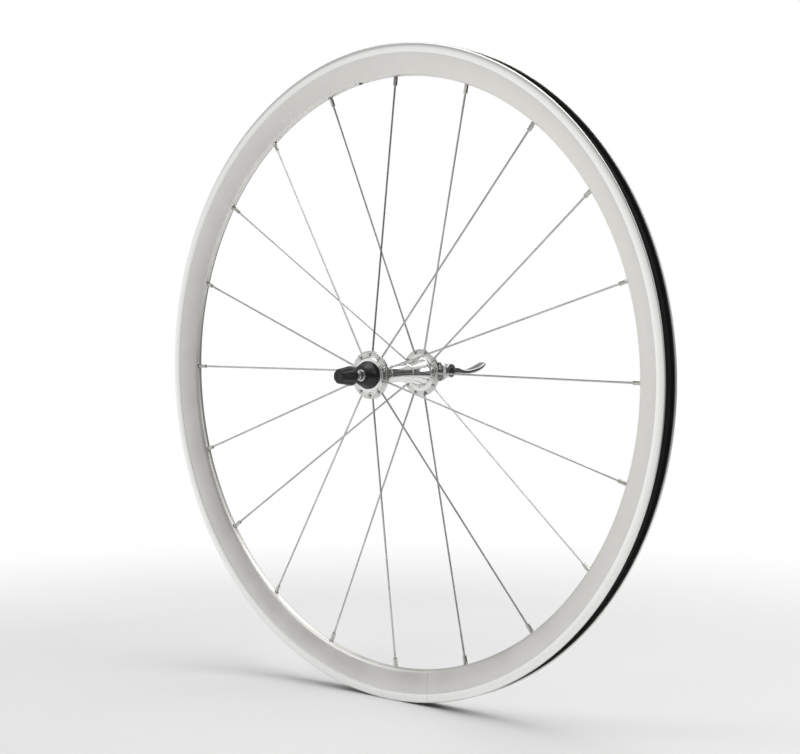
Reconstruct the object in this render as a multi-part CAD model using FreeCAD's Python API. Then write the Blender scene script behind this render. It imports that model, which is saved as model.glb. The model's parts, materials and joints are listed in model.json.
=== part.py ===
import FreeCAD, Part
import math
import os
from FreeCAD import Vector

# A bicycle's front wheel with its quick release. Sizes are millimetres. The origin is the middle of the
# axle, +Y runs along it towards the lever, which is the rider's left, +X is forwards and +Z is up.
# A turned piece is drawn as (radius, y) points, and a piece of the left side is mirrored for the right.

# Rim
RIM_RADIUS = 317.0
TRACK_HALF_WIDTH = 9.5
TRACK_INNER_RADIUS = 308.0
SHOULDER_RADIUS = 307.7
SHOULDER_HALF_WIDTH = 9.2
CROWN_RADIUS = 286.0
CROWN_EDGE_RADIUS = 289.2
CROWN_HALF_WIDTH = 4.6
WALL_BULGE = 0.18
BEAD_SEAT_RADIUS = 311.0
BEAD_SEAT_OUTER = 7.9
BEAD_SEAT_INNER = 5.6
WELL_RADIUS = 308.0
WELL_HALF_WIDTH = 4.6
HOOK_RADIUS = 315.0
HOOK_HALF_WIDTH = 7.4
BRIDGE_THICKNESS = 1.4
SPOKE_BED_RADIUS = 289.2
SPOKE_BED_HALF_WIDTH = 3.25
CAVITY_HALF_WIDTH = 7.2
CAVITY_SHOULDER_RADIUS = 305.8
CAVITY_TOP_RADIUS = 309.4
VALVE_ANGLE = 99.0
VALVE_HOLE_RADIUS = 3.25
ACCESS_HOLE_RADIUS = 4.0
NIPPLE_HOLE_RADIUS = 2.35
SLEEVE_ANGLE = VALVE_ANGLE + 180.0
SLEEVE_SPAN = 8.0
SLEEVE_GAP = 0.06
SLEEVE_WALL = 1.5
SLEEVE_HOLLOW_HALF = 3.2
TAPE_THICKNESS = 0.4
TAPE_GAP = 0.03
TAPE_TOP_RADIUS = 314.8

# Spokes and nipples
SPOKES_A_SIDE = 10
SPOKE_STEP = 360.0 / SPOKES_A_SIDE
RIGHT_SIDE_PHASE = SPOKE_STEP / 2
SPOKE_RADIUS = 1.0
SPOKE_MIDDLE_RADIUS = 0.9
SPOKE_HOLE_CIRCLE = 20.0
SPOKE_HOLE_RADIUS = 1.25
SPOKE_ROOT_Y = 33.7
ELBOW_RADIUS = 2.4
HEAD_RADIUS = 2.15
HEAD_HEIGHT = 1.2
HEAD_CROWN = 1.45
BUTT_LENGTH = 22.0
TAPER_LENGTH = 14.0
NIPPLE_LENGTH = 14.5
NIPPLE_RADIUS = 1.98
NIPPLE_FLAT = 3.3
NIPPLE_FLAT_LENGTH = 6.0
NIPPLE_HEAD_RADIUS = 2.9
NIPPLE_HEAD_HEIGHT = 2.4
NIPPLE_BORE_RADIUS = 1.04

# Hub shell
FLANGE_RADIUS = 23.0
FLANGE_INNER_Y = 35.0
FLANGE_OUTER_Y = 38.0
BARREL_RADIUS = 7.8
BARREL_END_RADIUS = 14.0
BARREL_END_Y = 33.5
BEAD_Y = 15.0
BEAD_HALF_WIDTH = 0.9
BEAD_HEIGHT = 0.6
BOSS_RADIUS = 17.0
SHELL_END_Y = 39.6
SHELL_BORE_RADIUS = 6.5
RELIEF_RADIUS = 8.5

# Bearings, with the ring sizes of a 10 x 22 x 6 cartridge
BEARING_Y = 36.5
BEARING_HALF_WIDTH = 3.0
BEARING_BORE_RADIUS = 5.0
BEARING_OUTER_RADIUS = 11.0
INNER_RACE_RADIUS = 6.9
OUTER_RACE_RADIUS = 9.1
BALL_RADIUS = 1.5875
BALL_COUNT = 11
PITCH_RADIUS = 8.0
GROOVE_RADIUS = 1.65
CAGE_HALF_WIDTH = 2.05
CAGE_HALF_THICKNESS = 0.62
POCKET_RADIUS = 1.68
SEAL_INNER_RADIUS = 7.05
SEAL_NEAR = 2.4
SEAL_FAR = 2.85

# Axle and its end caps
DROPOUT_FACE_Y = 50.0
AXLE_END_Y = 54.5
SPIGOT_RADIUS = 4.5
SPIGOT_START_Y = 46.0
AXLE_MIDDLE_RADIUS = 5.9
AXLE_BORE_RADIUS = 2.75
CAP_RADIUS = 13.4
CAP_FACE_RADIUS = 8.9
CAP_START_Y = 40.0
CAP_NOSE_RADIUS = 6.6
LOCK_RING_RADIUS = 5.9
LOCK_RING_END_Y = 49.7
EDGE = 0.5

# Skewer: rod, cup, lever and nut
ROD_RADIUS = 2.45
ROD_NUT_END_Y = -74.5
ROD_LEVER_END_Y = 78.0
GRIP_FACE_Y = 62.0
GRIP_RADIUS = 9.5
SPRING_RECESS_RADIUS = 6.6
SPRING_RECESS_DEPTH = 2.5
TOOTH_COUNT = 24
TOOTH_DEPTH = 0.5
CUP_END_Y = 68.0
CUP_BORE_RADIUS = 2.7
PAD_RADIUS = 7.2
PAD_START_Y = 65.55
PAD_END_Y = 71.0
TROUGH_RADIUS = 9.5
TROUGH_BOTTOM_Y = 67.45
PIVOT_Y = 75.0
PIVOT_RADIUS = 4.0
PIVOT_HALF_LENGTH = 6.35
PIVOT_CLEARANCE = 0.05
CAM_RADIUS = 7.0
CAM_OFFSET = 0.9
FORK_HALF_GAP = 2.9
LEVER_HALF_WIDTH = 6.2
LEVER_TIP_Y = 131.0
SLOT_END_Y = 86.0
NUT_THREAD_RADIUS = 2.5
NUT_FLANGE_RADIUS = 8.6
NUT_FLANGE_END_Y = 65.0
NUT_HEX_FLATS = 12.0
NUT_CORE_END_Y = 73.0
NUT_CAP_START_Y = 63.0
NUT_CAP_END_Y = 80.5
NUT_CAP_RADIUS = 9.3
NUT_CAP_END_RADIUS = 7.2
NUT_POCKET_END_Y = 79.0
NUT_POCKET_RADIUS = 4.5
FLUTE_COUNT = 8
FLUTE_RADIUS = 2.2
INSERT_RADIUS = 4.4
INSERT_END_Y = 75.0
SPRING_WIRE_RADIUS = 0.45
SPRING_SMALL_RADIUS = 3.05
SPRING_LARGE_RADIUS = 5.3
SPRING_TURNS = 4.5

ORIGIN = Vector(0, 0, 0)
AXLE_LINE = Vector(0, 1, 0)
PIVOT_LINE = Vector(1, 0, 0)


def flat(point):
    """A (radius, y) pair as a point of the plane Z = 0."""
    return Vector(point[0], point[1], 0)


def outline(start, *steps):
    """A closed wire. A step is the next point, or (a point on the way, the next point) for an arc."""
    edges = []
    here = start
    for step in list(steps) + [start]:
        if isinstance(step[0], tuple):
            edges.append(Part.Arc(flat(here), flat(step[0]), flat(step[1])).toShape())
            here = step[1]
        elif step != here:
            edges.append(Part.LineSegment(flat(here), flat(step)).toShape())
            here = step
    return Part.Wire(edges)


def turned(start, *steps, angle=360.0):
    """The solid that an outline sweeps about the axle."""
    return Part.Face(outline(start, *steps)).revolve(ORIGIN, AXLE_LINE, angle)


def mirrored(shape):
    """The same piece on the right side of the wheel."""
    return shape.mirror(ORIGIN, AXLE_LINE)


def both_sides(points):
    """A run of outline steps for the left side, then the same run backwards for the right."""
    run = list(points)
    return run + [(r, -y) for r, y in reversed(run)]


def round_the_axle(shape, degrees):
    """A copy turned from +X towards +Z by some degrees."""
    copy = shape.copy()
    copy.rotate(ORIGIN, AXLE_LINE, -degrees)
    return copy


def ring_of(shape, count, phase=0.0):
    """Copies of a shape evenly spaced about the axle."""
    return [round_the_axle(shape, phase + 360.0 * i / count) for i in range(count)]


def tube(inner, outer, y_start, y_end):
    return turned((inner, y_start), (outer, y_start), (outer, y_end), (inner, y_end))


def cylinder(radius, start, direction, length):
    return Part.makeCylinder(radius, length, start, direction)


def radial_hole(radius, from_radius, to_radius):
    return cylinder(radius, Vector(from_radius, 0, 0), Vector(1, 0, 0), to_radius - from_radius)


def save(name, *shapes):
    solids = [solid for shape in shapes for solid in shape.Solids]
    for solid in solids:
        if not solid.isValid() or solid.Volume <= 0:
            raise ValueError(name + " has a bad solid")
    body = solids[0] if len(solids) == 1 else Part.makeCompound(solids)
    body.exportStep("parts/" + name + ".step")
    print("%-24s %2d solids %10.1f mm3" % (name, len(solids), sum(s.Volume for s in solids)))


# --- Rim, its joint sleeve and its tape


def wall_middle(side):
    """The middle of the side wall's shallow curve, which leaves the crown without a corner."""
    run = SHOULDER_RADIUS - CROWN_EDGE_RADIUS
    rise = SHOULDER_HALF_WIDTH - CROWN_HALF_WIDTH
    length = math.hypot(run, rise)
    radius = (SHOULDER_RADIUS + CROWN_EDGE_RADIUS) / 2 - WALL_BULGE * rise / length
    width = (SHOULDER_HALF_WIDTH + CROWN_HALF_WIDTH) / 2 + WALL_BULGE * run / length
    return (radius, side * width)


def rim_section():
    """The outside of the hoop: the well, bead seats, hooked edges, brake tracks, walls and crown."""
    hook_tip = (RIM_RADIUS, (HOOK_HALF_WIDTH + TRACK_HALF_WIDTH) / 2)
    hook_inside = (RIM_RADIUS - 1.1, HOOK_HALF_WIDTH)
    hook_outside = (RIM_RADIUS - 1.05, TRACK_HALF_WIDTH)

    def other(point):
        return (point[0], -point[1])

    well_edge = (WELL_RADIUS, WELL_HALF_WIDTH)
    seat_inside = (BEAD_SEAT_RADIUS, BEAD_SEAT_INNER)
    seat_outside = (BEAD_SEAT_RADIUS, BEAD_SEAT_OUTER)
    hook_root = (HOOK_RADIUS, BEAD_SEAT_OUTER)
    track_end = (TRACK_INNER_RADIUS, TRACK_HALF_WIDTH)
    shoulder = (SHOULDER_RADIUS, SHOULDER_HALF_WIDTH)
    crown_edge = (CROWN_EDGE_RADIUS, CROWN_HALF_WIDTH)
    return turned(
        other(well_edge),
        well_edge,
        seat_inside,
        seat_outside,
        hook_root,
        hook_inside,
        (hook_tip, hook_outside),
        track_end,
        shoulder,
        (wall_middle(1), crown_edge),
        ((CROWN_RADIUS, 0.0), other(crown_edge)),
        (wall_middle(-1), other(shoulder)),
        other(track_end),
        other(hook_outside),
        (other(hook_tip), other(hook_inside)),
        other(hook_root),
        other(seat_outside),
        other(seat_inside),
    )


def cavity_points(gap=0.0):
    """The hollow between the bridge and the spoke bed, made smaller all round by a gap."""
    bridge = WELL_RADIUS - BRIDGE_THICKNESS
    return [
        (SPOKE_BED_RADIUS + gap, SPOKE_BED_HALF_WIDTH - gap),
        (CAVITY_SHOULDER_RADIUS, CAVITY_HALF_WIDTH - gap),
        (CAVITY_TOP_RADIUS - gap, CAVITY_HALF_WIDTH - gap),
        (CAVITY_TOP_RADIUS - gap, BEAD_SEAT_INNER + 0.6 + gap),
        (bridge - gap, WELL_HALF_WIDTH + 0.6),
    ]


def rim():
    cavity = turned(*both_sides(cavity_points()))
    hoop = rim_section().cut(cavity)
    count = 2 * SPOKES_A_SIDE
    tools = ring_of(radial_hole(NIPPLE_HOLE_RADIUS, CROWN_RADIUS - 4, SPOKE_BED_RADIUS + 2), count)
    tools += ring_of(radial_hole(ACCESS_HOLE_RADIUS, WELL_RADIUS - 3, WELL_RADIUS + 2), count)
    valve = radial_hole(VALVE_HOLE_RADIUS, CROWN_RADIUS - 4, WELL_RADIUS + 2)
    tools.append(round_the_axle(valve, VALVE_ANGLE))
    return hoop.cut(tools)


def joint_sleeve():
    """The hollow plug inside the rim that joins the hoop's two ends, opposite the valve hole."""
    plug = turned(*both_sides(cavity_points(SLEEVE_GAP)), angle=SLEEVE_SPAN)
    hollow_outer = CAVITY_SHOULDER_RADIUS - SLEEVE_WALL
    inside = tube(SPOKE_BED_RADIUS + 2 * SLEEVE_WALL, hollow_outer, -SLEEVE_HOLLOW_HALF, SLEEVE_HOLLOW_HALF)
    return round_the_axle(plug.cut(inside), SLEEVE_ANGLE + SLEEVE_SPAN / 2)


def rim_tape():
    """A strip that lines the well, the bead seats and the insides of the hooked edges."""
    near = TAPE_GAP
    far = TAPE_GAP + TAPE_THICKNESS
    left = [
        (WELL_RADIUS + near, WELL_HALF_WIDTH - near),
        (BEAD_SEAT_RADIUS + near, BEAD_SEAT_INNER - near),
        (BEAD_SEAT_RADIUS + near, BEAD_SEAT_OUTER - near),
        (TAPE_TOP_RADIUS, BEAD_SEAT_OUTER - near),
        (TAPE_TOP_RADIUS, BEAD_SEAT_OUTER - far),
        (BEAD_SEAT_RADIUS + far, BEAD_SEAT_OUTER - far),
        (BEAD_SEAT_RADIUS + far, BEAD_SEAT_INNER - far),
        (WELL_RADIUS + far, WELL_HALF_WIDTH - far),
    ]
    right = [(r, -y) for r, y in reversed(left)]
    strip = turned(*(left + right))
    valve = radial_hole(VALVE_HOLE_RADIUS + 0.4, WELL_RADIUS - 3, RIM_RADIUS)
    return strip.cut(round_the_axle(valve, VALVE_ANGLE))


# --- Spokes and nipples, drawn for the left side and pointing along +X


def spoke_line():
    """The straight part's start on the hole circle, its direction, and its length to the spoke bed."""
    start = Vector(SPOKE_HOLE_CIRCLE, SPOKE_ROOT_Y, 0)
    end = Vector(SPOKE_BED_RADIUS, 0, 0)
    return start, (end - start).normalize(), (end - start).Length


def about_line(points, start, direction):
    """A solid turned about a line in the plane Z = 0 from (distance along it, radius) points."""
    across = Vector(-direction.y, direction.x, 0)
    corners = [start + direction * along + across * radius for along, radius in points]
    face = Part.Face(Part.makePolygon(corners + corners[:1]))
    return face.revolve(start, direction, 360)


def spoke():
    """A head outside the flange, an elbow inside it, and a wire that is thinner in its middle."""
    start, along, length = spoke_line()
    turn = math.pi / 2 - math.asin(-along.y)
    reach = ELBOW_RADIUS * math.tan(turn / 2)
    neck_end = start + Vector(0, reach, 0)
    centre = neck_end + Vector(ELBOW_RADIUS, 0, 0)
    neck = cylinder(SPOKE_RADIUS, neck_end, AXLE_LINE, FLANGE_OUTER_Y + HEAD_HEIGHT / 2 - neck_end.y)
    section = Part.Face(Part.Wire(Part.makeCircle(SPOKE_RADIUS, neck_end, Vector(0, -1, 0))))
    elbow = section.revolve(centre, Vector(0, 0, 1), math.degrees(turn))
    thin = SPOKE_MIDDLE_RADIUS
    wire = about_line(
        [
            (reach, 0),
            (reach, SPOKE_RADIUS),
            (BUTT_LENGTH, SPOKE_RADIUS),
            (BUTT_LENGTH + TAPER_LENGTH, thin),
            (length - BUTT_LENGTH - TAPER_LENGTH, thin),
            (length - BUTT_LENGTH, SPOKE_RADIUS),
            (length + 1.5, SPOKE_RADIUS),
            (length + 1.5, 0),
        ],
        start,
        along,
    )
    foot = FLANGE_OUTER_Y + 0.02
    top = foot + HEAD_HEIGHT
    head = turned((0.0, foot), (HEAD_RADIUS, foot), (HEAD_RADIUS, foot + 0.5), (HEAD_CROWN, top), (0.0, top))
    head.translate(Vector(start.x, 0, 0))
    return neck.fuse([elbow, wire, head]).removeSplitter()


def nipple():
    """A slotted head inside the rim, a round body, and four flats for the key at the spoke's end."""
    start, along, length = spoke_line()
    seat = length + 0.12
    tip = seat + NIPPLE_HEAD_HEIGHT - NIPPLE_LENGTH
    body = about_line(
        [
            (tip, NIPPLE_BORE_RADIUS),
            (tip, NIPPLE_RADIUS - 0.35),
            (tip + 0.6, NIPPLE_RADIUS),
            (seat, NIPPLE_RADIUS),
            (seat + 0.6, NIPPLE_HEAD_RADIUS),
            (seat + NIPPLE_HEAD_HEIGHT - 0.5, NIPPLE_HEAD_RADIUS),
            (seat + NIPPLE_HEAD_HEIGHT, NIPPLE_HEAD_RADIUS - 0.7),
            (seat + NIPPLE_HEAD_HEIGHT, NIPPLE_BORE_RADIUS),
        ],
        start,
        along,
    )
    side = 4 * NIPPLE_RADIUS
    collar = Part.makeBox(side, NIPPLE_FLAT_LENGTH, side, Vector(-side / 2, 0, -side / 2))
    square = Part.makeBox(
        NIPPLE_FLAT, NIPPLE_FLAT_LENGTH, NIPPLE_FLAT, Vector(-NIPPLE_FLAT / 2, 0, -NIPPLE_FLAT / 2)
    )
    trim = collar.cut(square)
    slot = Part.makeBox(0.9, 1.2, 4 * NIPPLE_HEAD_RADIUS, Vector(-0.45, 0, -2 * NIPPLE_HEAD_RADIUS))
    turn = FreeCAD.Rotation(AXLE_LINE, along)
    for tool, distance in ((trim, tip + 0.7), (slot, seat + NIPPLE_HEAD_HEIGHT - 1.0)):
        tool.Placement = FreeCAD.Placement(start + along * distance, turn)
    return body.cut([trim, slot])


# --- Hub shell


def hub_shell():
    """A waisted barrel between two flanges, with a bearing seat in each end."""
    rise = BARREL_END_RADIUS - BARREL_RADIUS
    waist = (BARREL_END_Y**2 + rise**2) / (2 * rise)

    def barrel(y):
        return BARREL_RADIUS + waist - math.sqrt(waist**2 - y**2)

    left = [
        (barrel(BEAD_Y - BEAD_HALF_WIDTH), BEAD_Y - BEAD_HALF_WIDTH),
        (barrel(BEAD_Y) + BEAD_HEIGHT, BEAD_Y),
        (barrel(BEAD_Y + BEAD_HALF_WIDTH), BEAD_Y + BEAD_HALF_WIDTH),
        (barrel(24.5), 24.5),
        (BARREL_END_RADIUS, BARREL_END_Y),
    ]
    flange = [
        (BARREL_END_RADIUS + 1.5, FLANGE_INNER_Y),
        (FLANGE_RADIUS - EDGE, FLANGE_INNER_Y),
        (FLANGE_RADIUS, FLANGE_INNER_Y + EDGE),
        (FLANGE_RADIUS, FLANGE_OUTER_Y - EDGE),
        (FLANGE_RADIUS - EDGE, FLANGE_OUTER_Y),
        (BOSS_RADIUS + 0.4, FLANGE_OUTER_Y),
        (BOSS_RADIUS - 1.0, SHELL_END_Y),
        (BEARING_OUTER_RADIUS, SHELL_END_Y),
        (BEARING_OUTER_RADIUS, BEARING_Y - BEARING_HALF_WIDTH),
        (RELIEF_RADIUS, BEARING_Y - BEARING_HALF_WIDTH),
        (RELIEF_RADIUS, BEARING_Y - BEARING_HALF_WIDTH - 1.0),
        (SHELL_BORE_RADIUS, BEARING_Y - BEARING_HALF_WIDTH - 1.0),
    ]

    def other(point):
        return (point[0], -point[1])

    edge_a, peak, edge_b, bend, end = left
    steps = [
        ((BARREL_RADIUS, 0.0), edge_a),
        (peak, edge_b),
        (bend, end),
        *flange,
        *[other(p) for p in reversed(flange)],
        other(end),
        (other(bend), other(edge_b)),
        (other(peak), other(edge_a)),
    ]
    shell = turned(other(edge_a), *steps)
    drill = cylinder(
        SPOKE_HOLE_RADIUS,
        Vector(SPOKE_HOLE_CIRCLE, FLANGE_INNER_Y - 1.5, 0),
        AXLE_LINE,
        FLANGE_OUTER_Y - FLANGE_INNER_Y + 3.0,
    )
    holes = ring_of(drill, SPOKES_A_SIDE)
    holes += [round_the_axle(mirrored(drill), RIGHT_SIDE_PHASE + SPOKE_STEP * i) for i in range(SPOKES_A_SIDE)]
    return shell.cut(holes)


# --- Bearings, drawn for the left side


def race(wall_radius, face_radius, groove_bottom):
    """One ring: wall_radius is its plain side, face_radius its grooved side."""
    reach = math.sqrt(GROOVE_RADIUS**2 - (face_radius - PITCH_RADIUS) ** 2)
    low = BEARING_Y - BEARING_HALF_WIDTH
    high = BEARING_Y + BEARING_HALF_WIDTH
    return turned(
        (wall_radius, low),
        (face_radius, low),
        (face_radius, BEARING_Y - reach),
        ((groove_bottom, BEARING_Y), (face_radius, BEARING_Y + reach)),
        (face_radius, high),
        (wall_radius, high),
    )


def balls():
    ball = Part.makeSphere(BALL_RADIUS, Vector(PITCH_RADIUS, BEARING_Y, 0))
    return ring_of(ball, BALL_COUNT)


def cage():
    band = tube(
        PITCH_RADIUS - CAGE_HALF_THICKNESS,
        PITCH_RADIUS + CAGE_HALF_THICKNESS,
        BEARING_Y - CAGE_HALF_WIDTH,
        BEARING_Y + CAGE_HALF_WIDTH,
    )
    pocket = cylinder(POCKET_RADIUS, Vector(PITCH_RADIUS - 3, BEARING_Y, 0), Vector(1, 0, 0), 6)
    return band.cut(ring_of(pocket, BALL_COUNT))


def seals():
    outer = OUTER_RACE_RADIUS - 0.01
    return [
        tube(SEAL_INNER_RADIUS, outer, BEARING_Y + SEAL_NEAR, BEARING_Y + SEAL_FAR),
        tube(SEAL_INNER_RADIUS, outer, BEARING_Y - SEAL_FAR, BEARING_Y - SEAL_NEAR),
    ]


# --- Axle, end caps and lock rings


def axle():
    left = [
        (AXLE_BORE_RADIUS, AXLE_END_Y),
        (SPIGOT_RADIUS - EDGE, AXLE_END_Y),
        (SPIGOT_RADIUS, AXLE_END_Y - EDGE),
        (SPIGOT_RADIUS, SPIGOT_START_Y),
        (BEARING_BORE_RADIUS, SPIGOT_START_Y),
        (BEARING_BORE_RADIUS, BEARING_Y - BEARING_HALF_WIDTH),
        (AXLE_MIDDLE_RADIUS, BEARING_Y - BEARING_HALF_WIDTH),
    ]
    return turned(*both_sides(left))


def end_cap():
    """A cone that screws on the axle, clamps the bearing's inner ring and covers its seal."""
    nose = CAP_START_Y - 0.5
    rim_y = CAP_START_Y + 1.4
    middle_radius = (CAP_RADIUS + CAP_FACE_RADIUS) / 2 + 0.3
    middle_y = (rim_y + DROPOUT_FACE_Y) / 2 + 0.3
    return turned(
        (BEARING_BORE_RADIUS + 0.02, nose),
        (CAP_NOSE_RADIUS, nose),
        (CAP_NOSE_RADIUS, CAP_START_Y),
        (CAP_RADIUS - EDGE, CAP_START_Y),
        (CAP_RADIUS, CAP_START_Y + EDGE),
        (CAP_RADIUS, rim_y),
        ((middle_radius, middle_y), (CAP_FACE_RADIUS, DROPOUT_FACE_Y)),
        (LOCK_RING_RADIUS + 0.05, DROPOUT_FACE_Y),
        (LOCK_RING_RADIUS + 0.05, SPIGOT_START_Y + 0.1),
        (BEARING_BORE_RADIUS + 0.02, SPIGOT_START_Y + 0.1),
    )


def lock_ring():
    inner = SPIGOT_RADIUS + 0.02
    return turned(
        (inner, SPIGOT_START_Y + 0.15),
        (LOCK_RING_RADIUS, SPIGOT_START_Y + 0.15),
        (LOCK_RING_RADIUS, LOCK_RING_END_Y - 0.3),
        (LOCK_RING_RADIUS - 0.3, LOCK_RING_END_Y),
        (inner, LOCK_RING_END_Y),
    )


# --- Skewer


def teeth(outer_radius):
    """The grooves cut across a gripping face, which bite into the fork's end."""
    depth = TOOTH_DEPTH
    half = math.pi * outer_radius / TOOTH_COUNT * 0.8
    corners = [
        Vector(SPRING_RECESS_RADIUS - 1, GRIP_FACE_Y - 0.01, -half),
        Vector(SPRING_RECESS_RADIUS - 1, GRIP_FACE_Y - 0.01, half),
        Vector(SPRING_RECESS_RADIUS - 1, GRIP_FACE_Y + depth, 0),
    ]
    wedge = Part.Face(Part.makePolygon(corners + corners[:1]))
    groove = wedge.extrude(Vector(outer_radius - SPRING_RECESS_RADIUS + 3, 0, 0))
    return ring_of(groove, TOOTH_COUNT)


def clamp_cup():
    """The lever side's grip: teeth and a spring recess inside, a socket for the cam's pad outside."""
    cup = turned(
        (SPRING_RECESS_RADIUS, GRIP_FACE_Y),
        (GRIP_RADIUS - 0.4, GRIP_FACE_Y),
        (GRIP_RADIUS, GRIP_FACE_Y + 0.4),
        (GRIP_RADIUS, GRIP_FACE_Y + 2.6),
        (GRIP_RADIUS - 1.1, CUP_END_Y - 0.4),
        (GRIP_RADIUS - 1.5, CUP_END_Y),
        (PAD_RADIUS + 0.05, CUP_END_Y),
        (PAD_RADIUS + 0.05, PAD_START_Y - 0.05),
        (CUP_BORE_RADIUS, PAD_START_Y - 0.05),
        (CUP_BORE_RADIUS, GRIP_FACE_Y + SPRING_RECESS_DEPTH),
        (SPRING_RECESS_RADIUS, GRIP_FACE_Y + SPRING_RECESS_DEPTH),
    )
    return cup.cut(teeth(GRIP_RADIUS))


def cam_pad():
    """A plastic saddle that the lever's two cams press on."""
    pad = tube(CUP_BORE_RADIUS, PAD_RADIUS, PAD_START_Y, PAD_END_Y)
    trough = cylinder(
        TROUGH_RADIUS, Vector(-GRIP_RADIUS, TROUGH_BOTTOM_Y + TROUGH_RADIUS, 0), PIVOT_LINE, 2 * GRIP_RADIUS
    )
    return pad.cut(trough)


def skewer_rod():
    length = ROD_LEVER_END_Y - ROD_NUT_END_Y
    rod = cylinder(ROD_RADIUS, Vector(0, ROD_NUT_END_Y, 0), AXLE_LINE, length)
    return rod.makeChamfer(0.4, rod.Edges)


def lever_pin():
    """The cross pin that the rod screws into and the lever turns on."""
    half = PIVOT_HALF_LENGTH
    pin = cylinder(PIVOT_RADIUS, Vector(-half, PIVOT_Y, 0), PIVOT_LINE, 2 * half)
    pin = pin.makeChamfer(0.3, [e for e in pin.Edges if len(e.Vertexes) == 1])
    hole = cylinder(ROD_RADIUS + 0.02, Vector(0, PIVOT_Y - 2 * PIVOT_RADIUS, 0), AXLE_LINE, 4 * PIVOT_RADIUS)
    return pin.cut(hole)


def blade(points, x_start, x_end):
    """A closed smooth outline in the lever's side view, extruded across the lever."""
    curves = []
    for run in points:
        line = Part.BSplineCurve()
        line.interpolate([Vector(x_start, y, z) for y, z in run])
        curves.append(line.toShape())
    return Part.Face(Part.Wire(curves)).extrude(Vector(x_end - x_start, 0, 0))


def lever():
    """Two round cams on the pin, joined by an arm that dips and then hooks up to a finger tip."""
    cam_centre = Vector(-LEVER_HALF_WIDTH, PIVOT_Y, CAM_OFFSET)
    head = cylinder(CAM_RADIUS, cam_centre, PIVOT_LINE, 2 * LEVER_HALF_WIDTH)
    tip = LEVER_TIP_Y
    root = PIVOT_Y + 3.0
    top = [(root, 5.0), (root + 9, 2.6), (root + 22, 0.4), (root + 36, 1.6), (tip - 6, 4.6), (tip - 1.0, 7.2)]
    nose = [(tip - 1.0, 7.2), (tip, 6.6), (tip - 0.6, 5.2)]
    bottom = [(tip - 0.6, 5.2), (tip - 6, 0.6), (root + 36, -2.6), (root + 22, -3.7), (root + 9, -3.3), (root, -2.8)]
    back = [(root, -2.8), (root, 5.0)]
    arm = blade([top, nose, bottom, back], -LEVER_HALF_WIDTH, LEVER_HALF_WIDTH)
    plan = [
        Vector(-LEVER_HALF_WIDTH, PIVOT_Y - 8, -12),
        Vector(-LEVER_HALF_WIDTH, PIVOT_Y + 10, -12),
        Vector(-LEVER_HALF_WIDTH + 1.0, PIVOT_Y + 26, -12),
        Vector(-LEVER_HALF_WIDTH + 0.6, tip - 9, -12),
        Vector(-LEVER_HALF_WIDTH + 2.2, tip + 1, -12),
    ]
    plan += [Vector(-p.x, p.y, p.z) for p in reversed(plan)]
    keep = Part.Face(Part.makePolygon(plan + plan[:1])).extrude(Vector(0, 0, 24))
    whole = head.fuse(arm.common(keep))
    slot = Part.makeBox(
        2 * FORK_HALF_GAP, SLOT_END_Y - PIVOT_Y + 12, 24, Vector(-FORK_HALF_GAP, PIVOT_Y - 12, -12)
    )
    bore = cylinder(
        PIVOT_RADIUS + PIVOT_CLEARANCE, Vector(-10, PIVOT_Y, 0), PIVOT_LINE, 20
    )
    return whole.cut([slot, bore]).removeSplitter()


def nut_core():
    """The nut's steel body: teeth and a spring recess inside, a hexagon that drives the cap outside."""
    flange = turned(
        (SPRING_RECESS_RADIUS, GRIP_FACE_Y),
        (NUT_FLANGE_RADIUS - 0.3, GRIP_FACE_Y),
        (NUT_FLANGE_RADIUS, GRIP_FACE_Y + 0.3),
        (NUT_FLANGE_RADIUS, NUT_FLANGE_END_Y),
        (NUT_THREAD_RADIUS, NUT_FLANGE_END_Y),
        (NUT_THREAD_RADIUS, GRIP_FACE_Y + SPRING_RECESS_DEPTH),
        (SPRING_RECESS_RADIUS, GRIP_FACE_Y + SPRING_RECESS_DEPTH),
    ).cut(teeth(NUT_FLANGE_RADIUS))
    bore = cylinder(NUT_THREAD_RADIUS, Vector(0, NUT_FLANGE_END_Y - 1, 0), AXLE_LINE, 20)
    return flange.fuse(hexagon(NUT_HEX_FLATS, NUT_FLANGE_END_Y, NUT_CORE_END_Y).cut(bore)).removeSplitter()


def hexagon(flats, y_start, y_end):
    radius = flats / 2 / math.cos(math.pi / 6)
    corners = [
        Vector(radius * math.cos(a), y_start, radius * math.sin(a)) for a in (math.pi / 3 * i for i in range(6))
    ]
    return Part.Face(Part.makePolygon(corners + corners[:1])).extrude(Vector(0, y_end - y_start, 0))


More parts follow.
